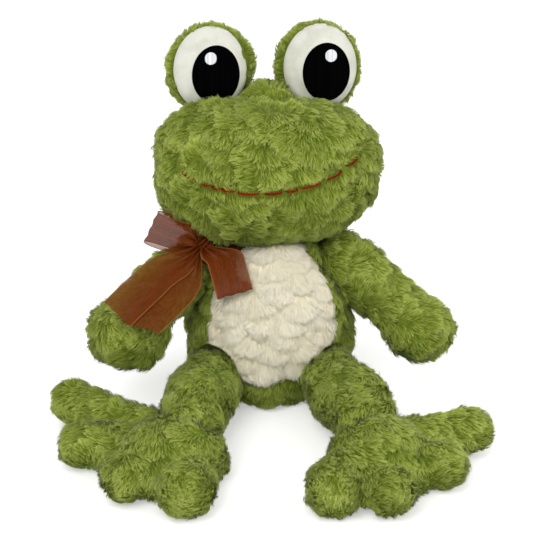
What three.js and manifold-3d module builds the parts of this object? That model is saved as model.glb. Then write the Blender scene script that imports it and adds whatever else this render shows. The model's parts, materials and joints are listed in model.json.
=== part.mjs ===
// A sitting plush frog: stuffed torso, head, arms, legs and webbed feet in long-pile cloth, with a
// cream belly panel, appliqué eyes, a stitched mouth and an organza bow tied round its neck.
//
// Millimetres, +Z up. The frog faces -Y and its own left is +X. The origin is the middle of its seat,
// on the surface that it sits on. Each stuffed piece is one solid, its cloth and filling together with
// the pile pressed down. It ends in a round root that turns in a hollow of the piece it is sewn to.

import * as THREE from "three";
import { ConvexGeometry } from "three/addons/geometries/ConvexGeometry.js";
import { mergeVertices } from "three/addons/utils/BufferGeometryUtils.js";
import Module from "manifold-3d";

const wasm = await Module();
wasm.setup();

// Clearances
const SEAM_GAP = 0.4; // between pieces that are sewn or laid against each other
const OVERRUN = 40; // how far a cutting tool runs past what it cuts

// Torso: an egg with a round dome for a neck, leaning back
const TORSO_HALF_WIDTH = 56;
const TORSO_HALF_DEPTH = 53;
const TORSO_HALF_HEIGHT = 58;
const TORSO_MIDDLE_H = 47;
const TORSO_LEAN_DEG = 14;
const NECK_H = 83; // centre of the dome, up the torso's own axis
const NECK_R = 36;

// Belly panel, let into the front of the torso
const BELLY_HALF_WIDTH = 39;
const BELLY_BELOW = 34; // from its widest line down to its point
const BELLY_ABOVE = 60; // and up to where its sides would meet, past the neck
const BELLY_WIDEST_H = 48;
const BELLY_SINK = 3;
const BELLY_PROUD = 1.5;

// Head: a loaf, wider than deep, with a smaller crown behind it that carries the eyes
const HEAD_HALF_WIDTH = 76;
const HEAD_HALF_DEPTH = 57;
const HEAD_HALF_HEIGHT = 47.5;
const HEAD_RISE = 67.5; // from the neck's centre to the head's
const HEAD_FORWARD = 5;
const HEAD_TURN_DEG = 3; // to the frog's left
const HEAD_ROLL_DEG = 1.3; // to the frog's right
const CROWN_HALF_WIDTH = 30;
const CROWN_HALF_DEPTH = 36;
const CROWN_HALF_HEIGHT = 40;
const CROWN_BACK = 17;
const CROWN_RISE = 16.5;

// Eyes: a stuffed disc on the crown, with a white panel, a pupil and a glint laid on each other
const EYE_HALF_WIDTH = 28;
const EYE_HALF_DEPTH = 18;
const EYE_HALF_HEIGHT = 31;
const EYE_SPREAD = 37.5;
const EYE_RISE = 69.5;
const EYE_BACK = 20;
const WHITE_HALF_WIDTH = 25;
const WHITE_HALF_HEIGHT = 28;
const WHITE_THICKNESS = 1.6;
const PUPIL_HALF_WIDTH = 16.2;
const PUPIL_HALF_HEIGHT = 19.5;
const PUPIL_THICKNESS = 1.2;
const PUPIL_GLANCE = 3.6; // both pupils look a little to the frog's left
const PUPIL_DROP = 3.8;
const GLINT_R = 4;
const GLINT_RISE = 11;
const GLINT_OUT = 3.2;
const GLINT_THICKNESS = 1;

// Mouth: one thread, half sunk in the pile
const MOUTH_THREAD_R = 1;
const MOUTH_HALF_SPAN_DEG = 53.5;
const MOUTH_DROP = 9.7;
const MOUTH_LIFT = 19.8;
const MOUTH_SLANT = 3.9;

// Arms
const ARM_ROOT_R = 17.5;
const ARM_MIDDLE_R = 20.5;
const HAND_HALF_WIDTH = 25;
const HAND_FLAT_SHARE = 0.82;
const HAND_TIP = 20;
const ARM_LENGTH = 98;
const SHOULDER_OUT = 48;
const SHOULDER_BACK = 20.5;
const SHOULDER_Z = 86;
const ARM_DOWN_DEG = -8;
const ARM_UP_DEG = 40;

// Legs
const LEG_ROOT_R = 22;
const LEG_MIDDLE_R = 21.5;
const ANKLE_R = 19;
const LEG_LENGTH = 74.4; // hip centre to ankle centre
const HIP_OUT = 43;
const HIP_FORWARD = 36;
const HIP_Z = 25;
const ANKLE_Z = 24;
const LEG_DOWN_DEG = -60;
const LEG_UP_DEG = 8;
const ANKLE_SWING_DEG = 20; // each way

// Feet: four toes fanned from the ankle, joined by a web and a raised instep
const TOE_START = 30;
const TOE_ROOT_R = 12;
const TOE_REACH = 68; // from the ankle to the middle of a toe's round end
const TOE_END_R = 15;
const TOE_AXIS_Z = 14.5;
const WEB_REACH_SHARE = 0.82; // of each toe's reach
const WEB_EDGE_R = 13;
const WEB_HALF_HEIGHT = 10.5;
const INSTEP_HALF_LENGTH = 35;
const INSTEP_HALF_WIDTH = 30;
const INSTEP_HALF_HEIGHT = 25;
const INSTEP_FORWARD = 24;
const INSTEP_Z = 14;

// Ribbon: one strip of organza, with a loop and a tail on each side of the knot
const RIBBON_WIDTH = 25;
const RIBBON_THICKNESS = 0.8;
const BAND_WIDTH = 7;
const BAND_THICKNESS = 1.6;
const BAND_SLOPE_DEG = 27; // up the neck's dome from its widest line, at the knot
const BAND_TILT_DEG = 10; // further up, away from the knot
const BAND_GATHER_SHARE = 0.6; // of the band's width, where it reaches the knot
const GROOVE_DEPTH = 3;
const KNOT_STANDOFF = 14.5; // of its middle from the dome
const KNOT_TURN_DEG = 61.7; // from straight ahead to the frog's right
const KNOT_RISE = 19.6; // above the dome's centre
const KNOT_R = 5.6;
const LOOP_SIDE_LENGTH = 31;
const LOOP_FRONT_LENGTH = 40;
const LOOP_OPENING = 5;
const TAIL_UPPER_LENGTH = 84;
const TAIL_LOWER_LENGTH = 75;
const TAIL_OFFSET = 8.3; // either way from the middle, so that the two overlap by a third
const TAIL_SLANT_SHARE = 0.3; // of the cut end, along for each millimetre across
const TAIL_LAYER = 1.6; // between the middles of the two tails
const TAIL_DROOP = 2;
const GATHER_SHARE = 0.22; // of the ribbon's width, where it leaves the knot

// Facets
const FINE_SIDES = 24;
const SIDES = 16;
const TOE_SIDES = 10;
const FINE_STEPS = 12;
const STEPS = 8;
const TOE_STEPS = 5;
const FACET_DIP_SHARE = 0.982; // how near its centre a ball's facets come, as a share of its radius
const FACET_SLACK = 0.2; // how far a face may move when small facets are dropped

const Z_AXIS = new THREE.Vector3(0, 0, 1);
const radians = THREE.MathUtils.degToRad;
const SIDE_SIGNS = { left: 1, right: -1 };

// How each side is posed: where the arm points and its reach as a share of the usual, how far the leg
// turns out, and how far each toe turns out, from the inner one to the outer one, with its reach and
// its end's size as shares of the usual
const POSE_SHARES = {
  left: {
    armTurnDeg: 57,
    armDropDeg: 29,
    armReachShare: 0.95,
    legTurnDeg: 11.6,
    toes: [
      { outDeg: -18, reachShare: 1, endShare: 1.2 },
      { outDeg: 12, reachShare: 1.04, endShare: 1 },
      { outDeg: 54, reachShare: 0.91, endShare: 1 },
      { outDeg: 98, reachShare: 1.03, endShare: 0.93 },
    ],
  },
  right: {
    armTurnDeg: 39,
    armDropDeg: 20,
    armReachShare: 1.05,
    legTurnDeg: 4.7,
    toes: [
      { outDeg: 2, reachShare: 0.94, endShare: 1.2 },
      { outDeg: 38, reachShare: 0.97, endShare: 1 },
      { outDeg: 84, reachShare: 1.01, endShare: 1 },
      { outDeg: 122, reachShare: 1.37, endShare: 0.93 },
    ],
  },
};

// How square each egg-shaped form's outline is, and how much narrower it gets towards its top
const TORSO_OUTLINE = { power: 2.1, taper: 0.1 };
const HEAD_OUTLINE = { power: 2.5, taper: 0 };
const EYE_OUTLINE = { power: 2.5, taper: 0 };
const WEB_OUTLINE = { power: 3, taper: 0 };
const INSTEP_OUTLINE = { power: 2, taper: 0 };

const FINISHES = {
  green_plush: { color: 0x7da03c, roughness: 0.95, metalness: 0 },
  cream_plush: { color: 0xe9e2c4, roughness: 0.95, metalness: 0 },
  white_felt: { color: 0xf1efe6, roughness: 0.9, metalness: 0 },
  black_thread: { color: 0x0c0c0d, roughness: 0.6, metalness: 0 },
  white_thread: { color: 0xf7f7f7, roughness: 0.5, metalness: 0 },
  red_thread: { color: 0xb3261a, roughness: 0.6, metalness: 0 },
  organza: { color: 0x7a3a1c, roughness: 0.35, metalness: 0 },
};

// A solid from a closed geometry, moved by a matrix, turned the right way out if need be.
function solidOf(geometry, matrix = new THREE.Matrix4()) {
  const bare = geometry.clone().applyMatrix4(matrix);
  for (const name of Object.keys(bare.attributes)) {
    if (name !== "position") bare.deleteAttribute(name);
  }
  const merged = mergeVertices(bare, SEAM_GAP / 1000);
  const build = (triVerts) =>
    new wasm.Manifold(
      new wasm.Mesh({
        numProp: 3,
        vertProperties: merged.attributes.position.array,
        triVerts,
      }),
    );
  const faces = Uint32Array.from(merged.index.array);
  const made = build(faces);
  return made.volume() < 0 ? build(faces.reverse()) : made;
}

// A drawable geometry from a solid.
function geometryOf(solid) {
  const mesh = solid.getMesh();
  const geometry = new THREE.BufferGeometry();
  const places = new THREE.BufferAttribute(Float32Array.from(mesh.vertProperties), mesh.numProp);
  geometry.setAttribute("position", places);
  geometry.setIndex(new THREE.BufferAttribute(Uint32Array.from(mesh.triVerts), 1));
  const flat = geometry.toNonIndexed();
  flat.computeVertexNormals();
  return flat;
}

function piece(name, solid, finish) {
  const geometry = geometryOf(solid.simplify(FACET_SLACK));
  const mesh = new THREE.Mesh(geometry, new THREE.MeshStandardMaterial(FINISHES[finish]));
  mesh.name = name;
  return mesh;
}

const joined = (solids) => solids.reduce((all, next) => all.add(next));
const moved = (x, y, z) => new THREE.Matrix4().makeTranslation(x, y, z);

// Half the width, as a share of its largest, at a height from -1 to 1 of a rounded, tapered outline.
function roundedShare(heightShare, power, taper = 0) {
  const round = (1 - Math.abs(heightShare) ** power) ** (1 / power);
  return round * (1 - taper * heightShare);
}

// A stuffed form about Z: a rounded outline turned and stretched to three half sizes.
function stuffedForm(half, { power = 2, taper = 0, sides = SIDES, steps = STEPS } = {}) {
  const outline = [];
  for (let i = 0; i <= steps; i += 1) {
    const heightShare = -Math.cos((Math.PI * i) / steps);
    const onAxis = i === 0 || i === steps;
    const widthShare = onAxis ? 0 : roundedShare(heightShare, power, taper);
    outline.push(new THREE.Vector2(widthShare, heightShare));
  }
  const upright = new THREE.LatheGeometry(outline, sides).rotateX(Math.PI / 2);
  return upright.scale(half.x, half.y, half.z);
}

// A stuffed limb along Z from its round root at the origin: root, waist and end radius, and a tip.
function limbForm({ rootR, middleR, endR, tip, length, flatShare = 1 }, sides, steps) {
  const outline = [new THREE.Vector2(0, -rootR)];
  const rootSteps = Math.ceil(steps / 2);
  for (let i = 1; i < rootSteps; i += 1) {
    const turn = (Math.PI / 2) * (i / rootSteps);
    outline.push(new THREE.Vector2(rootR * Math.sin(turn), -rootR * Math.cos(turn)));
  }
  const straight = length - tip;
  for (let i = 0; i <= steps; i += 1) {
    const along = i / steps;
    const toMiddle = THREE.MathUtils.smoothstep(along, 0, 1 / 2);
    const toEnd = THREE.MathUtils.smoothstep(along, 1 / 2, 1);
    const radius = rootR + (middleR - rootR) * toMiddle + (endR - middleR) * toEnd;
    outline.push(new THREE.Vector2(radius, straight * along));
  }
  for (let i = 1; i < rootSteps; i += 1) {
    const turn = (Math.PI / 2) * (i / rootSteps);
    outline.push(new THREE.Vector2(endR * Math.cos(turn), straight + tip * Math.sin(turn)));
  }
  outline.push(new THREE.Vector2(0, length));
  const limb = new THREE.LatheGeometry(outline, sides).rotateX(Math.PI / 2);
  const places = limb.attributes.position;
  for (let i = 0; i < places.count; i += 1) {
    const along = THREE.MathUtils.smoothstep(places.getZ(i), 0, straight);
    places.setY(i, places.getY(i) * (1 - (1 - flatShare) * along));
  }
  return limb;
}

const ball = (radius, sides) => new THREE.SphereGeometry(radius, sides, Math.ceil(sides / 2));

// A ball with even facets, none of which dips inside a true ball of this radius.
const roomBall = (radius) => new THREE.IcosahedronGeometry(radius / FACET_DIP_SHARE, 3);

// The rounded-off solid round several geometries.
function hullOf(geometries) {
  const points = [];
  for (const geometry of geometries) {
    const places = geometry.attributes.position;
    for (let i = 0; i < places.count; i += 1) {
      points.push(new THREE.Vector3().fromBufferAttribute(places, i));
    }
  }
  return solidOf(new ConvexGeometry(points));
}

// The room that a limb sweeps near its root, as it swings about X from one angle to another.
function swungRoom({ rootR, middleR, length }, fromDeg, toDeg) {
  const reach = length / 2 / Math.cos(radians(toDeg - fromDeg) / 2);
  const middles = [fromDeg, toDeg].map((deg) =>
    roomBall(middleR + 2 * SEAM_GAP).translate(0, 0, reach).rotateX(radians(deg)),
  );
  return hullOf([roomBall(rootR + SEAM_GAP), ...middles]);
}

// A solid moved by a rigid matrix.
function placed(solid, matrix) {
  return solid.transform(matrix.toArray());
}

// The frame of a limb: Z along it, X level across it, so that a positive turn about X raises it.
function limbFrame(sideName, place, turnDeg, dropDeg) {
  const out = SIDE_SIGNS[sideName] * Math.sin(radians(turnDeg));
  const level = Math.cos(radians(dropDeg));
  const along = new THREE.Vector3(
    out * level,
    -Math.cos(radians(turnDeg)) * level,
    -Math.sin(radians(dropDeg)),
  );
  const across = new THREE.Vector3(along.y, -along.x, 0).normalize();
  const third = new THREE.Vector3().crossVectors(along, across);
  return new THREE.Matrix4().makeBasis(across, third, along).setPosition(place);
}

function groupIn(frame) {
  const group = new THREE.Group();
  frame.decompose(group.position, group.quaternion, group.scale);
  return group;
}

// Frames of the pieces that the others are set against
const torsoFrame = new THREE.Matrix4().makeRotationX(-radians(TORSO_LEAN_DEG));
const toTorso = torsoFrame.clone().invert();
const neckPlace = new THREE.Vector3(0, 0, NECK_H).applyMatrix4(torsoFrame);
const headFrame = new THREE.Matrix4()
  .makeRotationX(-radians(TORSO_LEAN_DEG))
  .multiply(new THREE.Matrix4().makeRotationY(-radians(HEAD_ROLL_DEG)))
  .multiply(new THREE.Matrix4().makeRotationZ(radians(HEAD_TURN_DEG)))
  .setPosition(neckPlace);

const arms = {};
const legs = {};
for (const [sideName, sign] of Object.entries(SIDE_SIGNS)) {
  const pose = POSE_SHARES[sideName];
  const shoulder = new THREE.Vector3(sign * SHOULDER_OUT, SHOULDER_BACK, SHOULDER_Z);
  arms[sideName] = limbFrame(sideName, shoulder, pose.armTurnDeg, pose.armDropDeg);
  const hip = new THREE.Vector3(sign * HIP_OUT, -HIP_FORWARD, HIP_Z);
  const legDropDeg = THREE.MathUtils.radToDeg(Math.asin((HIP_Z - ANKLE_Z) / LEG_LENGTH));
  legs[sideName] = limbFrame(sideName, hip, pose.legTurnDeg, legDropDeg);
}

const armOf = (sideName) => ({
  rootR: ARM_ROOT_R,
  middleR: ARM_MIDDLE_R,
  endR: HAND_HALF_WIDTH,
  tip: HAND_TIP,
  length: ARM_LENGTH * POSE_SHARES[sideName].armReachShare,
  flatShare: HAND_FLAT_SHARE,
});
const LEG = {
  rootR: LEG_ROOT_R,
  middleR: LEG_MIDDLE_R,
  endR: ANKLE_R,
  tip: ANKLE_R,
  length: LEG_LENGTH + ANKLE_R,
};

// Room kept free of the torso round each arm and leg, through its whole swing, in the torso's frame.
function limbRooms() {
  const rooms = [];
  for (const sideName of Object.keys(SIDE_SIGNS)) {
    const armRoom = swungRoom(armOf(sideName), ARM_DOWN_DEG, ARM_UP_DEG);
    const legRoom = swungRoom(LEG, LEG_DOWN_DEG, LEG_UP_DEG);
    rooms.push(placed(armRoom, toTorso.clone().multiply(arms[sideName])));
    rooms.push(placed(legRoom, toTorso.clone().multiply(legs[sideName])));
  }
  return joined(rooms);
}

// The torso's egg and dome, drawn in by an inset.
function torsoForm(inset) {
  const half = new THREE.Vector3(
    TORSO_HALF_WIDTH - inset,
    TORSO_HALF_DEPTH - inset,
    TORSO_HALF_HEIGHT - inset,
  );
  const shape = { ...TORSO_OUTLINE, sides: FINE_SIDES, steps: FINE_STEPS };
  const egg = solidOf(stuffedForm(half, shape), moved(0, 0, TORSO_MIDDLE_H));
  const dome = solidOf(ball(NECK_R - inset, FINE_SIDES), moved(0, 0, NECK_H));
  return egg.add(dome);
}

// What the torso sits on, in the torso's frame.
function table() {
  const deep = 2 * OVERRUN;
  const wide = 2 * (TORSO_HALF_WIDTH + OVERRUN);
  const slab = new THREE.BoxGeometry(wide, wide, deep).translate(0, 0, -deep / 2);
  return solidOf(slab, toTorso);
}

// How far up the neck's dome the band lies where it faces the knot by a share.
function bandSlope(facing) {
  return radians(BAND_SLOPE_DEG + BAND_TILT_DEG * (1 - facing ** 2));
}

// The outline of the belly panel, run through the front of the torso.
function bellyColumn(spare) {
  const outline = [];
  const bellyTop = NECK_H + NECK_R * Math.sin(bandSlope(Math.cos(radians(KNOT_TURN_DEG))));
  for (let i = 0; i < FINE_SIDES; i += 1) {
    const turn = (2 * Math.PI * i) / FINE_SIDES;
    const halfHeight = spare + (Math.sin(turn) < 0 ? BELLY_BELOW : BELLY_ABOVE);
    const x = (BELLY_HALF_WIDTH + spare) * Math.cos(turn);
    const h = BELLY_WIDEST_H + halfHeight * Math.sin(turn);
    outline.push(new THREE.Vector2(x, Math.min(h, bellyTop + spare)));
  }
  const options = { depth: TORSO_HALF_DEPTH + OVERRUN, bevelEnabled: false };
  const column = new THREE.ExtrudeGeometry(new THREE.Shape(outline), options);
  return solidOf(column.rotateX(Math.PI / 2));
}

// A strip of ribbon through places, each with its own width direction and share of the full width.
function ribbonStrip(stations, thickness, closed = false) {
  const corners = [];
  const count = stations.length;
  stations.forEach(({ place, across, width }, i) => {
    const before = stations[closed ? (i + count - 1) % count : Math.max(i - 1, 0)].place;
    const after = stations[closed ? (i + 1) % count : Math.min(i + 1, count - 1)].place;
    const along = new THREE.Vector3().subVectors(after, before).normalize();
    const normal = new THREE.Vector3().crossVectors(along, across).normalize();
    for (const [w, t] of [[1, 1], [-1, 1], [-1, -1], [1, -1]]) {
      const corner = place.clone().addScaledVector(across, (w * width) / 2);
      corners.push(corner.addScaledVector(normal, (t * thickness) / 2));
    }
  });
  const faces = [];
  const spans = closed ? count : count - 1;
  for (let i = 0; i < spans; i += 1) {
    const next = (i + 1) % count;
    for (let c = 0; c < 4; c += 1) {
      const d = (c + 1) % 4;
      faces.push(4 * i + c, 4 * i + d, 4 * next + d, 4 * i + c, 4 * next + d, 4 * next + c);
    }
  }
  if (!closed) {
    const end = 4 * (count - 1);
    faces.push(0, 2, 1, 0, 3, 2, end, end + 1, end + 2, end, end + 2, end + 3);
  }
  const geometry = new THREE.BufferGeometry().setFromPoints(corners);
  geometry.setIndex(faces);
  return solidOf(geometry);
}

// The band round the neck, drawn out to the knot on the frog's right, in the torso's frame.
const knotReachOut = NECK_R + KNOT_STANDOFF;
const knotPlace = new THREE.Vector3(
  -knotReachOut * Math.sin(radians(KNOT_TURN_DEG)),
  -knotReachOut * Math.cos(radians(KNOT_TURN_DEG)),
  NECK_H + KNOT_RISE,
);
function bandStations(width) {
  const count = 36;
  const middleR = NECK_R - GROOVE_DEPTH / 2;
  const knotTurn = Math.atan2(knotPlace.y, knotPlace.x);
  const knotReach = Math.hypot(knotPlace.x, knotPlace.y) - KNOT_R - SEAM_GAP - BAND_THICKNESS / 2;
  const stations = [];
  for (let i = 0; i < count; i += 1) {
    const turn = knotTurn + (2 * Math.PI * i) / count;
    const facing = Math.max(Math.cos(turn - knotTurn), 0);
    const drawn = facing ** 40;
    const slope = bandSlope(facing);
    const reach = THREE.MathUtils.lerp(middleR * Math.cos(slope), knotReach, drawn);
    const height = THREE.MathUtils.lerp(NECK_H + NECK_R * Math.sin(slope), knotPlace.z, drawn);
    const tilt = slope * (1 - drawn);
    const outward = new THREE.Vector3(Math.cos(turn), Math.sin(turn), 0);
    stations.push({
      place: outward.clone().multiplyScalar(reach).setZ(height),
      across: outward.clone().multiplyScalar(-Math.sin(tilt)).setZ(Math.cos(tilt)),
      width: width * (1 - (1 - BAND_GATHER_SHARE) * drawn),
    });
  }
  return stations;
}

// How wide the ribbon is a share of the way along, gathered at the knot.
function gatheredWidth(share) {
  return RIBBON_WIDTH * (GATHER_SHARE + (1 - GATHER_SHARE) * THREE.MathUtils.smoothstep(share, 0, 1 / 3));
}

// A bow's loop: out from the knot and back beneath itself.
function bowLoop(frame, length) {
  const stations = [];
  const steps = 20;
  for (let i = 0; i <= steps; i += 1) {
    const share = i / steps;
    const out = Math.sin(Math.PI * share);
    const opening = (LOOP_OPENING / 2) * Math.sin(2 * Math.PI * share) + LOOP_OPENING * (1 / 2 - share);
    const start = KNOT_R + SEAM_GAP;
    stations.push({
      place: new THREE.Vector3(start + length * out, 0, opening).applyMatrix4(frame),
      across: new THREE.Vector3(0, 1, 0).transformDirection(frame),
      width: gatheredWidth(out),
    });
  }
  return ribbonStrip(stations, RIBBON_THICKNESS);
}

// A bow's tail: out from the knot, over the arm, to a cut end.
function bowTail(frame, length, offset, lift) {
  const stations = [];
  const steps = 12;
  for (let i = 0; i <= steps; i += 1) {
    const share = i / steps;
    const start = KNOT_R + SEAM_GAP;
    const spread = THREE.MathUtils.smoothstep(share, 0, 1 / 2);
    const place = new THREE.Vector3(start + length * share, offset * spread, 0);
    place.z = lift - TAIL_DROOP * Math.sin(Math.PI * share);
    const slant = TAIL_SLANT_SHARE * THREE.MathUtils.smoothstep(share, 1 / 2, 1);
    const across = new THREE.Vector3(slant, 1, 0).applyMatrix4(frame).sub(knotPlace);
    stations.push({
      place: place.applyMatrix4(frame),
      across,
      width: gatheredWidth(share),
    });
  }
  return ribbonStrip(stations, RIBBON_THICKNESS);
}

// A frame at the knot: X along a direction, Z as near as can be to the side that shows.
function knotFrame(along, showing) {
  const x = along.clone().normalize();
  const y = new THREE.Vector3().crossVectors(showing, x).normalize();
  const z = new THREE.Vector3().crossVectors(x, y);
  return new THREE.Matrix4().makeBasis(x, y, z).setPosition(knotPlace);
}

// Directions of the bow's parts in the torso's frame, as shares of a unit vector
const bowShares = {
  tail: { along: [-0.51, -0.7, -0.51], showing: [0.1, -0.8, 0.5] },
  side: { along: [-0.93, -0.23, 0.17], showing: [-0.12, -0.93, -0.22] },
  front: { along: [0.5, -0.65, -0.7], showing: [-0.05, -0.8, 0.5] },
};
const bowFrame = ({ along, showing }) =>
  knotFrame(new THREE.Vector3(...along), new THREE.Vector3(...showing));

function buildTorso() {
  const group = groupIn(torsoFrame);
  const rooms = limbRooms();
  const bandRoom = (depth) => ribbonStrip(bandStations(BAND_WIDTH + 2 * SEAM_GAP), depth + 2 * SEAM_GAP, true);
  const groove = bandRoom(GROOVE_DEPTH);
  const recess = bellyColumn(SEAM_GAP).subtract(torsoForm(BELLY_SINK));
  const torso = torsoForm(0).subtract(rooms).subtract(table()).subtract(groove).subtract(recess);
  group.add(piece("torso", torso, "green_plush"));

  const belly = bellyColumn(0)
    .intersect(torsoForm(-BELLY_PROUD))
    .subtract(torsoForm(BELLY_SINK - SEAM_GAP))
    .subtract(bandRoom(GROOVE_DEPTH + 2 * BELLY_PROUD))
    .subtract(rooms)
    .subtract(table());
  group.add(piece("belly_panel", largest(belly), "cream_plush"));

  group.add(piece("neck_ribbon", ribbonStrip(bandStations(BAND_WIDTH), BAND_THICKNESS, true), "organza"));
  const knot = ball(KNOT_R, SIDES).translate(knotPlace.x, knotPlace.y, knotPlace.z);
  group.add(piece("bow_knot", solidOf(knot), "organza"));
  group.add(piece("bow_loop_side", bowLoop(bowFrame(bowShares.side), LOOP_SIDE_LENGTH), "organza"));
  group.add(piece("bow_loop_front", bowLoop(bowFrame(bowShares.front), LOOP_FRONT_LENGTH), "organza"));
  const tailFrame = bowFrame(bowShares.tail);
  group.add(piece("bow_tail_upper", bowTail(tailFrame, TAIL_UPPER_LENGTH, TAIL_OFFSET, 0), "organza"));
  group.add(piece("bow_tail_lower", bowTail(tailFrame, TAIL_LOWER_LENGTH, -TAIL_OFFSET, TAIL_LAYER), "organza"));
  return group;
}

// The largest of the separate bodies in a solid.
function largest(solid) {
  return solid.decompose().reduce((best, next) => (next.volume() > best.volume() ? next : best));
}

// The head's loaf and crown about the neck's centre, let out by a spare.
function headForm(spare) {
  const shape = { ...HEAD_OUTLINE, sides: FINE_SIDES, steps: FINE_STEPS };
  const loafHalf = new THREE.Vector3(
    HEAD_HALF_WIDTH + spare,
    HEAD_HALF_DEPTH + spare,
    HEAD_HALF_HEIGHT + spare,
  );
  const loaf = solidOf(stuffedForm(loafHalf, shape), moved(0, -HEAD_FORWARD, HEAD_RISE));
  const crownHalf = new THREE.Vector3(
    CROWN_HALF_WIDTH + spare,
    CROWN_HALF_DEPTH + spare,
    CROWN_HALF_HEIGHT + spare,
  );
  const crownPlace = moved(0, CROWN_BACK - HEAD_FORWARD, HEAD_RISE + CROWN_RISE);
  return loaf.add(solidOf(stuffedForm(crownHalf, shape), crownPlace));
}

// The mouth's line on the front of the loaf.
function mouthCurve() {
  const points = [];
  const count = 17;
  for (let i = 0; i < count; i += 1) {
    const share = (2 * i) / (count - 1) - 1;
    const turn = radians(MOUTH_HALF_SPAN_DEG) * share;
    const height = -MOUTH_DROP + MOUTH_SLANT * share + MOUTH_LIFT * share * share;
    const width = roundedShare(height / HEAD_HALF_HEIGHT, HEAD_OUTLINE.power);
    points.push(
      new THREE.Vector3(
        HEAD_HALF_WIDTH * width * Math.sin(turn),
        -HEAD_HALF_DEPTH * width * Math.cos(turn) - HEAD_FORWARD,
        HEAD_RISE + height,
      ),
    );
  }
  return new THREE.CatmullRomCurve3(points);
}

// A thread of one radius along the mouth's line.
function mouthThread(radius) {
  const section = new THREE.Shape().absarc(0, 0, radius, 0, 2 * Math.PI);
  const options = { steps: SIDES, curveSegments: 6, bevelEnabled: false, extrudePath: mouthCurve() };
  return solidOf(new THREE.ExtrudeGeometry(section, options));
}

// The stuffed disc of an eye about its own centre, front and back along Y, let out by a spare.
function eyeForm(spare) {
  const half = new THREE.Vector3(
    EYE_HALF_WIDTH + spare,
    EYE_HALF_HEIGHT + spare,
    EYE_HALF_DEPTH + spare,
  );
  const shape = { ...EYE_OUTLINE, sides: FINE_SIDES, steps: STEPS };
  return solidOf(stuffedForm(half, shape).rotateX(Math.PI / 2));
}

// A layer on the front of an eye's disc, from one height to another over it, cut to an oval.
function eyeLayer(low, high, halfWidth, halfHeight, x, z) {
  const reach = EYE_HALF_DEPTH + OVERRUN;
  const oval = new THREE.CylinderGeometry(1, 1, reach, FINE_SIDES, 1);
  oval.translate(0, -reach / 2, 0).scale(halfWidth, 1, halfHeight);
  return eyeForm(high).subtract(eyeForm(low)).intersect(solidOf(oval, moved(x, 0, z)));
}

function buildEye(sideName) {
  const sign = SIDE_SIGNS[sideName];
  const place = moved(sign * EYE_SPREAD, EYE_BACK - HEAD_FORWARD, HEAD_RISE + EYE_RISE);
  const eye = groupIn(place);
  const head = placed(headForm(SEAM_GAP), place.clone().invert());
  eye.add(piece(`eye_${sideName}`, eyeForm(0).subtract(head), "green_plush"));

  const whiteTop = SEAM_GAP + WHITE_THICKNESS;
  const white = eyeLayer(SEAM_GAP, whiteTop, WHITE_HALF_WIDTH, WHITE_HALF_HEIGHT, 0, 0);
  eye.add(piece(`eye_${sideName}_white`, largest(white.subtract(head)), "white_felt"));

  const pupilLow = whiteTop + SEAM_GAP;
  const pupilTop = pupilLow + PUPIL_THICKNESS;
  const pupilHalf = [PUPIL_HALF_WIDTH, PUPIL_HALF_HEIGHT];
  const pupil = eyeLayer(pupilLow, pupilTop, ...pupilHalf, PUPIL_GLANCE, -PUPIL_DROP);
  eye.add(piece(`eye_${sideName}_pupil`, largest(pupil.subtract(head)), "black_thread"));

  const glintLow = pupilTop + SEAM_GAP;
  const glintTop = glintLow + GLINT_THICKNESS;
  const glintX = PUPIL_GLANCE + sign * GLINT_OUT;
  const glint = eyeLayer(glintLow, glintTop, GLINT_R, GLINT_R, glintX, GLINT_RISE - PUPIL_DROP);
  eye.add(piece(`eye_${sideName}_glint`, glint, "white_thread"));
  return eye;
}

function buildHead() {
  const group = groupIn(headFrame);
  const socket = solidOf(roomBall(NECK_R + SEAM_GAP));
  const groove = mouthThread(MOUTH_THREAD_R + SEAM_GAP);
  const head = headForm(0).subtract(socket).subtract(groove);
  group.add(piece("head", head, "green_plush"));
  group.add(piece("mouth_thread", mouthThread(MOUTH_THREAD_R), "red_thread"));
  for (const sideName of Object.keys(SIDE_SIGNS)) group.add(buildEye(sideName));
  return group;
}

function buildArm(sideName) {
  const group = groupIn(arms[sideName]);
  const arm = limbForm(armOf(sideName), SIDES, STEPS);
  group.add(piece(`arm_${sideName}`, solidOf(arm), "green_plush"));
  return group;
}

function buildLeg(sideName) {
  const group = groupIn(legs[sideName]);
  group.add(piece(`leg_${sideName}`, solidOf(limbForm(LEG, SIDES, STEPS)), "green_plush"));
  return group;
}

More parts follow.
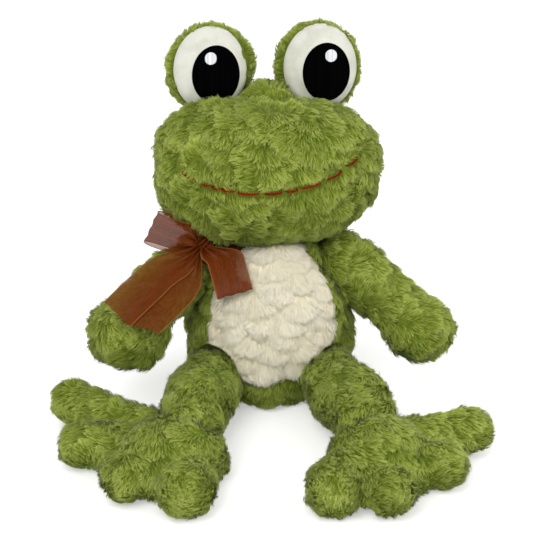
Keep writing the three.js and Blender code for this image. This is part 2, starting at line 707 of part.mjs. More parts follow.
// A foot's toes, web and instep about the ankle. -Y points the way of the leg.
function footForm(sideName) {
  const floor = -ANKLE_Z;
  const pose = POSE_SHARES[sideName];
  const sign = SIDE_SIGNS[sideName];
  const webHalf = new THREE.Vector3(WEB_EDGE_R, WEB_EDGE_R, WEB_HALF_HEIGHT);
  const webShape = { ...WEB_OUTLINE, sides: TOE_SIDES, steps: TOE_STEPS };
  const webEdge = stuffedForm(webHalf, webShape).translate(0, 0, floor + WEB_HALF_HEIGHT);
  const webEdges = [webEdge];
  const toes = [];
  for (const { outDeg, reachShare, endShare } of pose.toes) {
    const turn = sign * radians(outDeg - pose.legTurnDeg);
    const reach = TOE_REACH * reachShare;
    const endR = TOE_END_R * endShare;
    const toe = {
      rootR: TOE_ROOT_R,
      middleR: (TOE_ROOT_R + endR) / 2,
      endR,
      tip: endR,
      length: reach + endR - TOE_START,
    };
    const lying = limbForm(toe, TOE_SIDES, TOE_STEPS).rotateX(Math.PI / 2);
    lying.translate(0, -TOE_START, floor + TOE_AXIS_Z).rotateZ(turn);
    toes.push(solidOf(lying));
    webEdges.push(webEdge.clone().translate(0, -reach * WEB_REACH_SHARE, 0).rotateZ(turn));
  }
  const instepHalf = new THREE.Vector3(INSTEP_HALF_WIDTH, INSTEP_HALF_LENGTH, INSTEP_HALF_HEIGHT);
  const instep = stuffedForm(instepHalf, { ...INSTEP_OUTLINE, sides: FINE_SIDES, steps: STEPS });
  const middleDeg = pose.toes.reduce((sum, { outDeg }) => sum + outDeg / pose.toes.length, 0);
  const instepTurn = (sign * radians(middleDeg - pose.legTurnDeg)) / 2;
  instep.translate(0, -INSTEP_FORWARD, floor + INSTEP_Z).rotateZ(instepTurn);
  return joined([hullOf(webEdges), solidOf(instep), ...toes]);
}

function buildFoot(sideName) {
  const ankle = new THREE.Vector3(0, 0, LEG_LENGTH).applyMatrix4(legs[sideName]);
  const legTurn = SIDE_SIGNS[sideName] * radians(POSE_SHARES[sideName].legTurnDeg);
  const group = groupIn(new THREE.Matrix4().makeRotationZ(legTurn).setPosition(ankle));

  // Room for the leg behind the ankle, at every angle of the foot
  const shin = { rootR: ANKLE_R, middleR: LEG_MIDDLE_R, length: LEG_LENGTH };
  const backwards = new THREE.Matrix4().makeRotationX(-Math.PI / 2);
  const legRoom = placed(swungRoom(shin, -ANKLE_SWING_DEG, ANKLE_SWING_DEG), backwards);
  const underside = new THREE.BoxGeometry(4 * LEG_LENGTH, 4 * LEG_LENGTH, OVERRUN);
  const foot = footForm(sideName)
    .subtract(legRoom)
    .subtract(solidOf(underside, moved(0, 0, -ANKLE_Z - OVERRUN / 2)));
  group.add(piece(`foot_${sideName}`, largest(foot), "green_plush"));
  return group;
}

const frog = new THREE.Group();
frog.add(buildTorso(), buildHead());
for (const sideName of Object.keys(SIDE_SIGNS)) {
  frog.add(buildArm(sideName), buildLeg(sideName), buildFoot(sideName));
}

export default frog;
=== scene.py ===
import json
import logging
import math
from dataclasses import dataclass, field
from enum import Enum

import bmesh
import bpy
import numpy as np
from mathutils import Matrix, Vector, kdtree
from mathutils.bvhtree import BVHTree


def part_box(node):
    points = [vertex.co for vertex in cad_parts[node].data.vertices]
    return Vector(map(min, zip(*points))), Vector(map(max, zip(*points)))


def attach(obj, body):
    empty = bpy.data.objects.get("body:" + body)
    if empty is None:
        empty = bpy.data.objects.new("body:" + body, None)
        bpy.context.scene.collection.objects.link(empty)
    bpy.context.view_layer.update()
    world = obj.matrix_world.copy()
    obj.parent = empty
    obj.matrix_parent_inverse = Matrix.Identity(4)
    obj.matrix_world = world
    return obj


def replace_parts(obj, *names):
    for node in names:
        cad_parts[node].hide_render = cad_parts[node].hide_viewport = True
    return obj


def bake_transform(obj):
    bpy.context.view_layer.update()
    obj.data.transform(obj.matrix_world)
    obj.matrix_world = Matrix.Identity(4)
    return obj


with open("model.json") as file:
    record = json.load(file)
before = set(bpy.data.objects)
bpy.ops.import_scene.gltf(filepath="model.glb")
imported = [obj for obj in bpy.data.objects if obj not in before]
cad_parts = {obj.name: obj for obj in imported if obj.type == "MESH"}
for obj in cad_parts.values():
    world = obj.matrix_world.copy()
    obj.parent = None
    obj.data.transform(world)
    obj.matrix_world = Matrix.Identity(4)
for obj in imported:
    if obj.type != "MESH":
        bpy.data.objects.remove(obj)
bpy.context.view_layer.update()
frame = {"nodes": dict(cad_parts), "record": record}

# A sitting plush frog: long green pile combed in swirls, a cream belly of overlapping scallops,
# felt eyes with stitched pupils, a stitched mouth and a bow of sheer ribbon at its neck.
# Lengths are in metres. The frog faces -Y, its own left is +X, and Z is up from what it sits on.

MM = 0.001
STRAND_MAP = "OFBake"  # a strand's tone across, and root to tip up
LOG = logging.getLogger("frog")

Colour = tuple[int, int, int]
Triple = tuple[float, float, float]


def linear(colour: Colour, alpha: float = 1.0) -> tuple[float, float, float, float]:
    """Turns a colour as a screen shows it, 0 to 255, into the linear one that shaders take.

    Args:
        colour: red, green and blue from 0 to 255.
        alpha: how solid it is, from 0 to 1.

    Returns:
        Linear red, green, blue and alpha.
    """
    shares = [c / 255 for c in colour]
    out = [s / 12.92 if s <= 0.04045 else ((s + 0.055) / 1.055) ** 2.4 for s in shares]
    return (*out, alpha)


# ---------------------------------------------------------------- finishes


def finish_name(slot: str) -> str:
    """What a slot's material is called here. The frame already has a plain one by the slot's own name."""
    return f"{slot}_finish"


class Graph:
    """The node tree of a material or the world, built a node at a time."""

    def __init__(self, owner: bpy.types.Material | bpy.types.World) -> None:
        """Starts with an empty tree.

        Args:
            owner: whose tree it is.
        """
        self.owner = owner
        owner.use_nodes = True
        self.tree = owner.node_tree
        self.tree.nodes.clear()

    @classmethod
    def of_slot(cls, slot: str) -> "Graph":
        """Starts the material of a slot."""
        return cls(bpy.data.materials.new(finish_name(slot)))

    def node(self, kind: str, inputs: dict | None = None, **settings: object) -> bpy.types.Node:
        """Adds a node.

        Args:
            kind: the node's type, as Blender names it.
            inputs: values or output sockets for its inputs, by the inputs' names or numbers.
            settings: properties of the node itself.

        Returns:
            The node.
        """
        made = self.tree.nodes.new(kind)
        for key, value in settings.items():
            setattr(made, key, value)
        for key, value in (inputs or {}).items():
            if isinstance(value, bpy.types.NodeSocket):
                self.tree.links.new(value, made.inputs[key])
            else:
                made.inputs[key].default_value = value
        return made

    def ramp(self, factor: bpy.types.NodeSocket, stops: list[tuple[float, Colour]]) -> bpy.types.NodeSocket:
        """Adds a colour ramp.

        Args:
            factor: what it is read by.
            stops: places from 0 to 1, each with its screen colour.

        Returns:
            The ramp's colour.
        """
        made = self.node("ShaderNodeValToRGB", {"Fac": factor})
        band = made.color_ramp
        while len(band.elements) < len(stops):
            band.elements.new(0.5)
        for element, (place, colour) in zip(band.elements, stops):
            element.position = place
            element.color = linear(colour)
        return made.outputs["Color"]

    def levels(
        self, factor: bpy.types.NodeSocket, low: float, high: float, to: tuple[float, float]
    ) -> bpy.types.NodeSocket:
        """Maps a range of a value smoothly onto another.

        Args:
            factor: the value.
            low: where the range starts.
            high: where it ends.
            to: what its two ends become.

        Returns:
            The mapped value.
        """
        made = self.node(
            "ShaderNodeMapRange",
            {"Value": factor, "From Min": low, "From Max": high, "To Min": to[0], "To Max": to[1]},
            interpolation_type="SMOOTHSTEP",
        )
        return made.outputs["Result"]

    def mixed(
        self, share: bpy.types.NodeSocket | float, first: object, second: object, how: str = "MIX"
    ) -> bpy.types.NodeSocket:
        """Mixes two colours.

        Args:
            share: how much of the second, from 0 to 1.
            first: the first colour or socket.
            second: the second colour or socket.
            how: the way of mixing.

        Returns:
            The mixed colour.
        """
        made = self.node("ShaderNodeMix", data_type="RGBA", blend_type=how)
        for name, value in (("Factor", share), ("A", first), ("B", second)):
            sockets = [s for s in made.inputs if s.name == name and s.enabled]
            target = sockets[0]
            if isinstance(value, bpy.types.NodeSocket):
                self.tree.links.new(value, target)
            else:
                target.default_value = value
        return next(s for s in made.outputs if s.enabled)

    def maths(self, operation: str, *values: object, clamp: bool = False) -> bpy.types.NodeSocket:
        """Adds a maths node.

        Args:
            operation: what it does, as Blender names it.
            values: its numbers or sockets.
            clamp: whether the result is kept between 0 and 1.

        Returns:
            The result.
        """
        made = self.node("ShaderNodeMath", dict(enumerate(values)), operation=operation, use_clamp=clamp)
        return made.outputs[0]

    def strand_map(self) -> tuple[bpy.types.NodeSocket, bpy.types.NodeSocket]:
        """The two coordinates of the strand map: the tone or the way across, and the way along."""
        place = self.node("ShaderNodeUVMap", uv_map=STRAND_MAP).outputs["UV"]
        split = self.node("ShaderNodeSeparateXYZ", {"Vector": place})
        return split.outputs["X"], split.outputs["Y"]

    def seen_directly(self) -> bpy.types.NodeSocket:
        """One for what the camera sees, also by a mirror or through glass, and 0 for light on its way."""
        path = self.node("ShaderNodeLightPath")
        seen = self.maths("MAXIMUM", path.outputs["Is Camera Ray"], path.outputs["Is Glossy Ray"])
        return self.maths("MAXIMUM", seen, path.outputs["Is Transmission Ray"])

    def finish(
        self, shader: bpy.types.Node, output: str = "ShaderNodeOutputMaterial"
    ) -> bpy.types.Material | bpy.types.World:
        """Sends a shader to the surface.

        Args:
            shader: the last shader node.
            output: the kind of output node.

        Returns:
            The finished material or world.
        """
        self.node(output, {"Surface": shader.outputs[0]})
        return self.owner


@dataclass(frozen=True)
class PileFinish:
    """Pile: each strand is dark at its root and pale at its tip, as painted shade deep in the pile and
    painted light on its tip, in a tone of its own.
    """

    name: str
    dark: tuple[Colour, Colour, Colour]
    light: tuple[Colour, Colour, Colour]
    roughness: float = 0.75
    sheen: float = 0.08

    def make(self) -> bpy.types.Material:
        """Builds the material."""
        graph = Graph.of_slot(self.name)
        tone, along = graph.strand_map()
        stops = (0.0, 0.45, 1.0)
        # Darker towards the root and paler towards the tip along each strand: painted shade deep in the pile,
        # painted light on the tips.
        dark = graph.ramp(along, list(zip(stops, self.dark)))
        light = graph.ramp(along, list(zip(stops, self.light)))
        colour = graph.mixed(tone, dark, light)
        shader = graph.node(
            "ShaderNodeBsdfPrincipled",
            {
                "Base Color": colour,
                "Roughness": self.roughness,
                "Specular IOR Level": 0.05,
                "Sheen Weight": self.sheen,
                "Sheen Roughness": 0.5,
            },
        )
        return graph.finish(shader)


@dataclass(frozen=True)
class FeltFinish:
    """Short brushed felt with a slightly uneven tone."""

    name: str = "white_felt"
    pale: Colour = (222, 222, 210)
    shaded: Colour = (208, 207, 193)

    def make(self) -> bpy.types.Material:
        """Builds the material."""
        graph = Graph.of_slot(self.name)
        place = graph.node("ShaderNodeTexCoord").outputs["Object"]
        patches = graph.node("ShaderNodeTexNoise", {"Vector": place, "Scale": 90.0, "Detail": 3.0})
        nap = graph.node("ShaderNodeTexNoise", {"Vector": place, "Scale": 1900.0, "Detail": 4.0})
        share = graph.levels(patches.outputs["Fac"], 0.35, 0.7, (0.0, 1.0))
        colour = graph.mixed(share, linear(self.pale), linear(self.shaded))
        speck = graph.levels(nap.outputs["Fac"], 0.3, 0.7, (0.9, 1.0))
        colour = graph.mixed(1.0, colour, speck, "MULTIPLY")
        bump = graph.node(
            "ShaderNodeBump", {"Height": nap.outputs["Fac"], "Strength": 0.5, "Distance": 0.3 * MM}
        )
        shader = graph.node(
            "ShaderNodeBsdfPrincipled",
            {
                "Base Color": colour,
                "Roughness": 0.95,
                "Specular IOR Level": 0.1,
                "Sheen Weight": 0.3,
                "Sheen Roughness": 0.6,
                "Normal": bump.outputs["Normal"],
            },
        )
        return graph.finish(shader)


@dataclass(frozen=True)
class ThreadFinish:
    """Embroidery thread: each stitch has a tone of its own and a silky shine."""

    name: str
    dark: Colour
    light: Colour
    roughness: float = 0.42
    shine: float = 0.4

    def make(self) -> bpy.types.Material:
        """Builds the material."""
        graph = Graph.of_slot(self.name)
        tone, _ = graph.strand_map()
        colour = graph.mixed(tone, linear(self.dark), linear(self.light))
        shader = graph.node(
            "ShaderNodeBsdfPrincipled",
            {
                "Base Color": colour,
                "Roughness": self.roughness,
                "Specular IOR Level": self.shine,
            },
        )
        return graph.finish(shader)


@dataclass(frozen=True)
class OrganzaFinish:
    """Sheer woven ribbon: fine threads with light between them, and close-woven shiny edges."""

    name: str = "organza"
    thread: Colour = (108, 48, 9)
    edge: Colour = (146, 90, 48)
    cover: float = 0.75  # how solid it is, on average
    weave_waves: float = 60.0  # threads across the ribbon's width
    weave_depth: float = 0.08
    slub_stretch: Triple = (48.0, 1.6, 1.0)  # across and along, so that the noise lies along the threads

    def make(self) -> bpy.types.Material:
        """Builds the material. Its map runs across the ribbon from 0 to 1, and along it in ribbon widths."""
        graph = Graph.of_slot(self.name)
        place = graph.node("ShaderNodeUVMap", uv_map=STRAND_MAP).outputs["UV"]
        across, along = graph.strand_map()
        off = graph.maths("ABSOLUTE", graph.maths("SUBTRACT", across, 0.5))
        selvedge = graph.levels(off, 0.474, 0.486, (0.0, 1.0))
        turn = 2 * math.pi * self.weave_waves
        waves = [graph.maths("SINE", graph.maths("MULTIPLY", value, turn)) for value in (across, along)]
        weave = graph.maths("MAXIMUM", *waves)
        drawn = graph.node("ShaderNodeVectorMath", {0: place, 1: self.slub_stretch}, operation="MULTIPLY")
        slubs = graph.node(
            "ShaderNodeTexNoise", {"Vector": drawn.outputs[0], "Scale": 1.0, "Detail": 3.0, "Roughness": 0.6}
        ).outputs["Fac"]
        sheer = graph.levels(weave, -0.2, 0.9, (self.cover - self.weave_depth, self.cover + self.weave_depth))
        cloudy = graph.levels(slubs, 0.3, 0.7, (-0.04, 0.05))
        woven = graph.maths("ADD", sheer, cloudy)
        cover = graph.maths("ADD", woven, graph.maths("MULTIPLY", selvedge, 0.3), clamp=True)
        tone = graph.levels(slubs, 0.3, 0.75, (0.9, 1.14))
        colour = graph.mixed(selvedge, linear(self.thread), linear(self.edge))
        colour = graph.mixed(1.0, colour, tone, "MULTIPLY")
        shader = graph.node(
            "ShaderNodeBsdfPrincipled",
            {
                "Base Color": colour,
                "Roughness": 0.42,
                "Specular IOR Level": 0.12,
                "Sheen Weight": 0.04,
                "Sheen Roughness": 0.3,
                "Alpha": cover,
            },
        )
        return graph.finish(shader)


class Finish(Enum):
    """The finishes, each named after its slot in the record."""

    # Each ramp runs root, middle, tip: the dark roots are painted shade deep in the pile, the pale tips
    # painted light.
    GREEN = PileFinish(
        "green_plush",
        dark=((50, 61, 14), (100, 117, 32), (152, 169, 66)),
        light=((92, 107, 30), (158, 176, 62), (226, 235, 136)),
    )
    CREAM = PileFinish(
        "cream_plush",
        dark=((236, 224, 188), (242, 232, 201), (247, 239, 211)),
        light=((246, 236, 209), (251, 244, 222), (253, 248, 231)),
    )
    FELT = FeltFinish()
    BLACK = ThreadFinish("black_thread", (3, 3, 4), (8, 8, 9), roughness=0.6, shine=0.0)
    WHITE = ThreadFinish("white_thread", (206, 208, 212), (246, 247, 250))
    RED = ThreadFinish("red_thread", (96, 12, 4), (150, 26, 8), roughness=0.7, shine=0.05)
    ORGANZA = OrganzaFinish()

    @property
    def material(self) -> bpy.types.Material:
        """The finish's material, made the first time it is asked for."""
        return bpy.data.materials.get(finish_name(self.value.name)) or self.value.make()


# ---------------------------------------------------------------- meshes


class Gathered:
    """Points and faces gathered for one mesh, each point with a place on the strand map."""

    def __init__(self) -> None:
        """Starts with nothing."""
        self.points: list[np.ndarray] = []
        self.maps: list[np.ndarray] = []
        self.normals: list[np.ndarray] = []
        self.faces: list[np.ndarray] = []
        self.count = 0

    def add(
        self, points: np.ndarray, faces: list[np.ndarray], places: np.ndarray, normals: np.ndarray
    ) -> None:
        """Adds points and the faces between them.

        Args:
            points: one row of three for each point.
            faces: arrays of faces, each array of one corner count, numbered from these points.
            places: one row of two for each point, its place on the strand map.
            normals: one row of three for each point, the way that it is shaded.
        """
        self.points.append(points.reshape(-1, 3))
        self.maps.append(places.reshape(-1, 2))
        self.normals.append(normals.reshape(-1, 3))
        self.faces.extend(f + self.count for f in faces)
        self.count += len(self.points[-1])

    def tubes(
        self,
        lines: np.ndarray,
        radii: np.ndarray,
        tones: np.ndarray,
        sides: int = 3,
        pointed: bool = True,
        ground: np.ndarray | None = None,
        softness: float = 0.0,
    ) -> None:
        """Adds closed tubes along lines that all have as many points.

        Args:
            lines: tubes by points by three.
            radii: tubes by points.
            tones: each tube's tone, from 0 to 1.
            sides: how many sides a tube has.
            pointed: whether the far end comes to a point, or else is capped.
            ground: the normal of the cloth under each tube.
            softness: how far a tube is shaded as the cloth under it is, from 0 to 1.
        """
        count, steps, _ = lines.shape
        axis = lines[:, -1] - lines[:, 0]
        steep = np.abs(axis[:, 2:3]) > 0.8 * np.linalg.norm(axis, axis=1, keepdims=True)
        helper = np.where(steep, [[1.0, 0, 0]], [[0, 0, 1.0]])
        side = unit(np.cross(axis, helper))
        third = unit(np.cross(axis, side))
        turns = 2 * math.pi * np.arange(sides) / sides
        ring = side[:, None] * np.cos(turns)[None, :, None] + third[:, None] * np.sin(turns)[None, :, None]
        rings = steps - 1 if pointed else steps
        body = lines[:, :rings, None] + ring[:, None] * radii[:, :rings, None, None]
        points = body.reshape(count, rings * sides, 3)
        shaded = np.tile(ring, (1, rings, 1))
        along = np.repeat(np.linspace(0, 1, steps)[:rings], sides)
        if pointed:
            points = np.concatenate([points, lines[:, -1:]], axis=1)
            shaded = np.concatenate([shaded, unit(axis)[:, None]], axis=1)
            along = np.append(along, 1.0)
        if ground is not None:
            shaded = unit(shaded * (1 - softness) + ground[:, None] * softness)
        each = points.shape[1]
        places = np.stack(
            [np.repeat(tones[:, None], each, axis=1), np.broadcast_to(along, (count, each))], axis=2
        )
        starts = (np.arange(count) * each)[:, None]
        here = np.arange(sides)
        after = (here + 1) % sides
        wall = np.stack([here, after, sides + after, sides + here], axis=1)
        walls = [r * sides + wall for r in range(rings - 1)]
        faces = [starts + here[::-1][None]]
        if walls:
            quads = np.concatenate(walls)
            faces.append((starts[:, :, None] + quads[None]).reshape(-1, 4))
        last = (rings - 1) * sides
        if pointed:
            tips = np.stack([last + here, last + after, np.full(sides, each - 1)], axis=1)
            faces.append((starts[:, :, None] + tips[None]).reshape(-1, 3))
        else:
            faces.append(starts + last + here[None])
        self.add(points, faces, places, shaded)

    def mesh(self, name: str) -> bpy.types.Object:
        """Makes the object, with smooth faces and the strand map.

        Args:
            name: the object's name.

        Returns:
            The object, at the origin.
        """
        points = np.concatenate(self.points)
        places = np.concatenate(self.maps)
        loops = np.concatenate([f.ravel() for f in self.faces]).astype(np.int32)
        sizes = np.concatenate([np.full(len(f), f.shape[1], np.int32) for f in self.faces])
        mesh = bpy.data.meshes.new(name)
        mesh.vertices.add(len(points))
        mesh.vertices.foreach_set("co", points.astype(np.float32).ravel())
        mesh.loops.add(len(loops))
        mesh.loops.foreach_set("vertex_index", loops)
        mesh.polygons.add(len(sizes))
        starts = np.concatenate([[0], np.cumsum(sizes)[:-1]])
        mesh.polygons.foreach_set("loop_start", starts.astype(np.int32))
        mesh.polygons.foreach_set("use_smooth", np.ones(len(sizes), bool))
        mesh.update(calc_edges=True)
        layer = mesh.uv_layers.new(name=STRAND_MAP)
        layer.data.foreach_set("uv", places[loops].astype(np.float32).ravel())
        mesh.normals_split_custom_set_from_vertices(np.concatenate(self.normals))
        return linked(name, mesh)


def unit(rows: np.ndarray) -> np.ndarray:
    """Scales each row to a length of one."""
    return rows / np.maximum(np.linalg.norm(rows, axis=-1, keepdims=True), 1e-12)


def across_surface(rows: np.ndarray, normals: np.ndarray) -> np.ndarray:
    """Lays directions flat on a surface with these normals, at a length of one."""
    return unit(rows - (rows * normals).sum(axis=-1, keepdims=True) * normals)


def smooth_share(values: np.ndarray, low: float, high: float) -> np.ndarray:
    """Rises smoothly from 0 at the low value to 1 at the high one."""
    share = np.clip((values - low) / (high - low), 0, 1)
    return share * share * (3 - 2 * share)


def linked(name: str, data: bpy.types.ID) -> bpy.types.Object:
    """Makes an object of a mesh, camera or lamp, at the origin, and puts it in the scene."""
    made = bpy.data.objects.new(name, data)
    bpy.context.scene.collection.objects.link(made)
    return made


def as_object(shape: bmesh.types.BMesh, name: str) -> bpy.types.Object:
    """Makes an object of a bmesh and frees it.

    Args:
        shape: the bmesh, with its place in its points.
        name: the object's name.

    Returns:
        The object, at the origin, with smooth faces.
    """
    mesh = bpy.data.meshes.new(name)
    shape.to_mesh(mesh)
    shape.free()
    mesh.polygons.foreach_set("use_smooth", np.ones(len(mesh.polygons), bool))
    return linked(name, mesh)


def finished_mesh(made: bpy.types.Object) -> bpy.types.Mesh:
    """The mesh of an object once its modifiers have run. The object itself is removed."""
    graph = bpy.context.evaluated_depsgraph_get()
    mesh = bpy.data.meshes.new_from_object(made.evaluated_get(graph))
    bpy.data.objects.remove(made)
    return mesh


def dressed(made: bpy.types.Object, finish: Finish, body: str | None) -> bpy.types.Object:
    """Gives a piece its finish and its slot, and sets it on its body.

    Args:
        made: the piece.
        finish: its finish.
        body: the body that it rides on, or None to set it on no body.

    Returns:
        The same piece.
    """
    made.data.materials.clear()
    made.data.materials.append(finish.material)
    if body:
        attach(made, body)
    LOG.info("%s: %d faces", made.name, len(made.data.polygons))
    return made


# ---------------------------------------------------------------- pile


@dataclass(frozen=True)
class Pile:
    """How a piece's pile grows and lies."""

    length: float = 10.5 * MM
    thickness: float = 0.28 * MM
    curved_per_square_mm: float = 0.42
    straight_per_square_mm: float = 1.1
    swirl: float = 14 * MM  # between the middles of two swirls
    stretch: float = 1.0  # how much wider than high a swirl is
    overhang: float = 4 * MM  # how far its strands reach past its far edge
    stray_deg: float = 42.0  # how far a swirl turns from the combing
    spread: float = 0.35  # how much a swirl's strands fan out from its middle
    curl_deg: float = 26.0  # how far strands turn aside within a swirl
    ragged: float = 0.2  # how far a swirl's outline wanders, as a share of it
    lift_deg: float = 16.0
    lift_gain_deg: float = 14.0  # how much more its far edge stands up
    bend_deg: float = 18.0  # up from that at a strand's root, and down at its tip
    relief: float = 3.8 * MM  # how far its far edge stands out
    lock: float = 1.9 * MM  # between two locks of strands
    lock_pull: float = 0.3  # how far a lock's tips come together
    inset: float = 0.8 * MM  # of the cloth under the pile from the solid
    softness: float = 0.72  # how far a strand is shaded as the cloth under it is


@dataclass(frozen=True)
class Combing:
    """Which way a piece's pile is combed: one way, out from a point, or both."""

    way: Triple = (0.0, 0.0, 0.0)
    middle: Triple = (0.0, 0.0, 0.0)
    outwards: float = 0.0

    def at(self, points: np.ndarray) -> np.ndarray:
        """The direction at each of some points, not yet laid on the surface."""
        out = unit(points - np.array(self.middle) * MM)
        return np.array(self.way)[None] + self.outwards * out


@dataclass(frozen=True)
class Bump:
    """A place where the stuffing presses a piece's cloth out, or a seam draws it in, in millimetres."""

    middle: Triple
    push: Triple
    radius: float


@dataclass
class Skin:
    """A stuffed piece's cloth: its points and triangles, and the ways that pile grows and cloth faces."""

    points: np.ndarray
    normals: np.ndarray
    triangles: np.ndarray
    shaded: np.ndarray

    @classmethod
    def of_node(cls, name: str, voxel: float, inset: float) -> "Skin":
        """Rounds a CAD node off and draws it in.

        Args:
            name: the node.
            voxel: how fine the cloth's mesh is.
            inset: how far it lies inside the solid.

        Returns:
            The skin.
        """
        shape = bmesh.new()
        shape.from_mesh(frame["nodes"][name].data)
        bmesh.ops.remove_doubles(shape, verts=shape.verts, dist=MM / 1000)
        rough = as_object(shape, f"rough_{name}")
        remesh = rough.modifiers.new("voxels", "REMESH")
        remesh.mode = "VOXEL"
        remesh.voxel_size = voxel
        mesh = finished_mesh(rough)
        shape = bmesh.new()
        shape.from_mesh(mesh)
        bpy.data.meshes.remove(mesh)
        for _ in range(SMOOTHINGS):
            bmesh.ops.smooth_vert(
                shape, verts=shape.verts, factor=0.5, use_axis_x=True, use_axis_y=True, use_axis_z=True
            )
        bmesh.ops.triangulate(shape, faces=shape.faces)
        bmesh.ops.recalc_face_normals(shape, faces=shape.faces)
        shape.normal_update()
        points = np.array([v.co for v in shape.verts])
        normals = np.array([v.normal for v in shape.verts])
        triangles = np.array([[v.index for v in f.verts] for f in shape.faces])
        shape.free()
        return cls(points - normals * inset, normals, triangles, normals)

    def measure(self) -> np.ndarray:
        """Each triangle's area."""
        a, b, c = (self.points[self.triangles[:, i]] for i in range(3))
        return np.linalg.norm(np.cross(b - a, c - a), axis=1) / 2

    def scatter(self, count: int, rng: np.random.Generator) -> tuple[np.ndarray, np.ndarray, np.ndarray]:
        """Spreads points over the skin.

        Args:
            count: how many.
            rng: the random source.

        Returns:
            The points, the way that pile grows there, and the skin's normals there.
        """
        areas = self.measure()
        chosen = rng.choice(len(areas), count, p=areas / areas.sum())
        u, v = rng.random((2, count, 1))
        u, v = np.where(u + v > 1, 1 - u, u), np.where(u + v > 1, 1 - v, v)
        corner = self.triangles[chosen]
        shares = (1 - u - v, u, v)
        points = sum(s * self.points[corner[:, i]] for i, s in enumerate(shares))
        normals = unit(sum(s * self.normals[corner[:, i]] for i, s in enumerate(shares)))
        shaded = unit(sum(s * self.shaded[corner[:, i]] for i, s in enumerate(shares)))
        return points, normals, shaded

    def press(self, bumps: tuple[Bump, ...]) -> None:
        """Moves the cloth where the stuffing presses it.

        Args:
            bumps: the places.
        """
        for bump in bumps:
            reach = np.linalg.norm(self.points - np.array(bump.middle) * MM, axis=1) / (bump.radius * MM)
            self.points = self.points + np.outer(np.exp(-(reach**2)), np.array(bump.push) * MM)
        if bumps:
            self.refresh()

    def refresh(self) -> None:
        """Works out the points' normals again after they have moved."""
        a, b, c = (self.points[self.triangles[:, i]] for i in range(3))
        faces = np.cross(b - a, c - a)
        normals = np.zeros_like(self.points)
        for i in range(3):
            np.add.at(normals, self.triangles[:, i], faces)
        self.shaded = unit(normals)
        self.normals = unit(self.normals * 0.6 + self.shaded * 0.4)


def spaced_out(points: np.ndarray, gap: float) -> np.ndarray:
    """Picks points, in their order, that are at least a gap apart.

    Args:
        points: the points to pick from.
        gap: the least distance.

    Returns:
        The numbers of those kept.
    """
    cells: dict[tuple[int, ...], list[int]] = {}
    kept = []
    keys = np.floor(points / gap).astype(int)
    around = [(i, j, k) for i in (-1, 0, 1) for j in (-1, 0, 1) for k in (-1, 0, 1)]
    for n, key in enumerate(keys):
        near = [m for d in around for m in cells.get((key[0] + d[0], key[1] + d[1], key[2] + d[2]), ())]
        if near and np.min(np.sum((points[near] - points[n]) ** 2, axis=1)) < gap * gap:
            continue
        cells.setdefault(tuple(key), []).append(n)
        kept.append(n)
    return np.array(kept)


def nearest(points: np.ndarray, centres: np.ndarray) -> np.ndarray:
    """The number of the centre nearest to each point."""
    tree = kdtree.KDTree(len(centres))
    for i, centre in enumerate(centres):
        tree.insert(centre, i)
    tree.balance()
    return np.array([tree.find(p)[1] for p in points])


def solids_tree(names: list[str]) -> BVHTree | None:
    """Gathers CAD solids into one tree that rays can be cast at.

    Args:
        names: the nodes.

    Returns:
        The tree, or None if there are no nodes.
    """
    points, faces, start = [], [], 0
    for name in names:
        mesh = frame["nodes"][name].data
        points.extend(v.co.copy() for v in mesh.vertices)
        faces.extend([start + i for i in p.vertices] for p in mesh.polygons)
        start += len(mesh.vertices)
    return BVHTree.FromPolygons(points, faces) if faces else None


HIDDEN_SHARE = 0.35  # of the strands that grow where hardly anything is seen
HIDDEN_LENGTH = 0.4  # of a strand's length, where another body lies on it
SMOOTHINGS = 4  # of the remeshed cloth
SWIRL_HALF_WIDTH = 0.68  # these three as shares of the distance between two swirls
SWIRL_AHEAD = 0.72
SWIRL_BEHIND = 0.95
SWIRL_TRIES = 14  # places tried for each swirl's area
SWIRL_GAP = 0.85  # the least distance between two swirls' middles, as a share of the usual one
SWELLS = (0.5, 1.15)  # the least and greatest height of a swirl, as shares of the relief
SWELL_POWER = 1.3  # how steeply a swirl rises to its far edge
SWELL_SINK = 0.15  # how far its near edge is sunk, as a share of the relief
SIDE_FALL = 0.6  # how much lower its sides are than its middle
TOGETHER = 4000  # points looked at in one go
SKIN_PLACE = (0.34, 0.24)  # of the cloth on the strand map, so that it is as dark as strands' roots: painted shade deep in the pile
LOWEST = 0.6 * MM  # of the cloth over the ground
ROOT_DEPTH = 0.5 * MM  # of a strand in its cloth
PRESSED_FROM, PRESSED_TO = 3 * MM, 12 * MM  # heights over which the ground presses pile less and less
PRESSED_SHARE = 0.4  # how much shorter the ground makes a strand
CURVED_TAPER = (1.0, 0.95, 0.0)  # a strand's radius at its points, as shares of its thickness
STRAIGHT_TAPER = (1.3, 0.0)
# Strands' lengths as shares of the pile's: where a swirl starts, what its far edge adds, and the least
LENGTH_AT_START, LENGTH_GAIN, LEAST_LENGTH = 0.85, 0.25, 0.5
LOCK_LENGTHS = (0.78, 1.15)  # what a whole lock's lengths are multiplied by
LOCK_TWIST = 0.7
LEAN_STRAY, LIFT_STRAY_DEG, LENGTH_STRAY = 0.1, 7, 0.06  # how far single strands differ
PAINTED_SHADE_IN_SWIRL = 0.36  # how much of a strand's tone comes from its place in its swirl: painted shade where a swirl starts under the edge of the one before, painted light towards its far edge
TONE_OF_SWIRL, TONE_OF_LOCK, TONE_OF_STRAND, TONE_OF_PATCH = 0.26, 0.12, 0.26, 0.1
PATCH = 30 * MM  # over about what distance the cloth's own tone changes
LOOK_OUT = 1.6 * MM  # how far over the solid another piece stops strands from growing
LEAST_SHRINK, SHORT_OF = 0.3, 0.85  # how short a strand may get, and how near it comes to what it meets
FACING_DOWN = -0.8  # a normal's Z, past which the cloth faces the ground


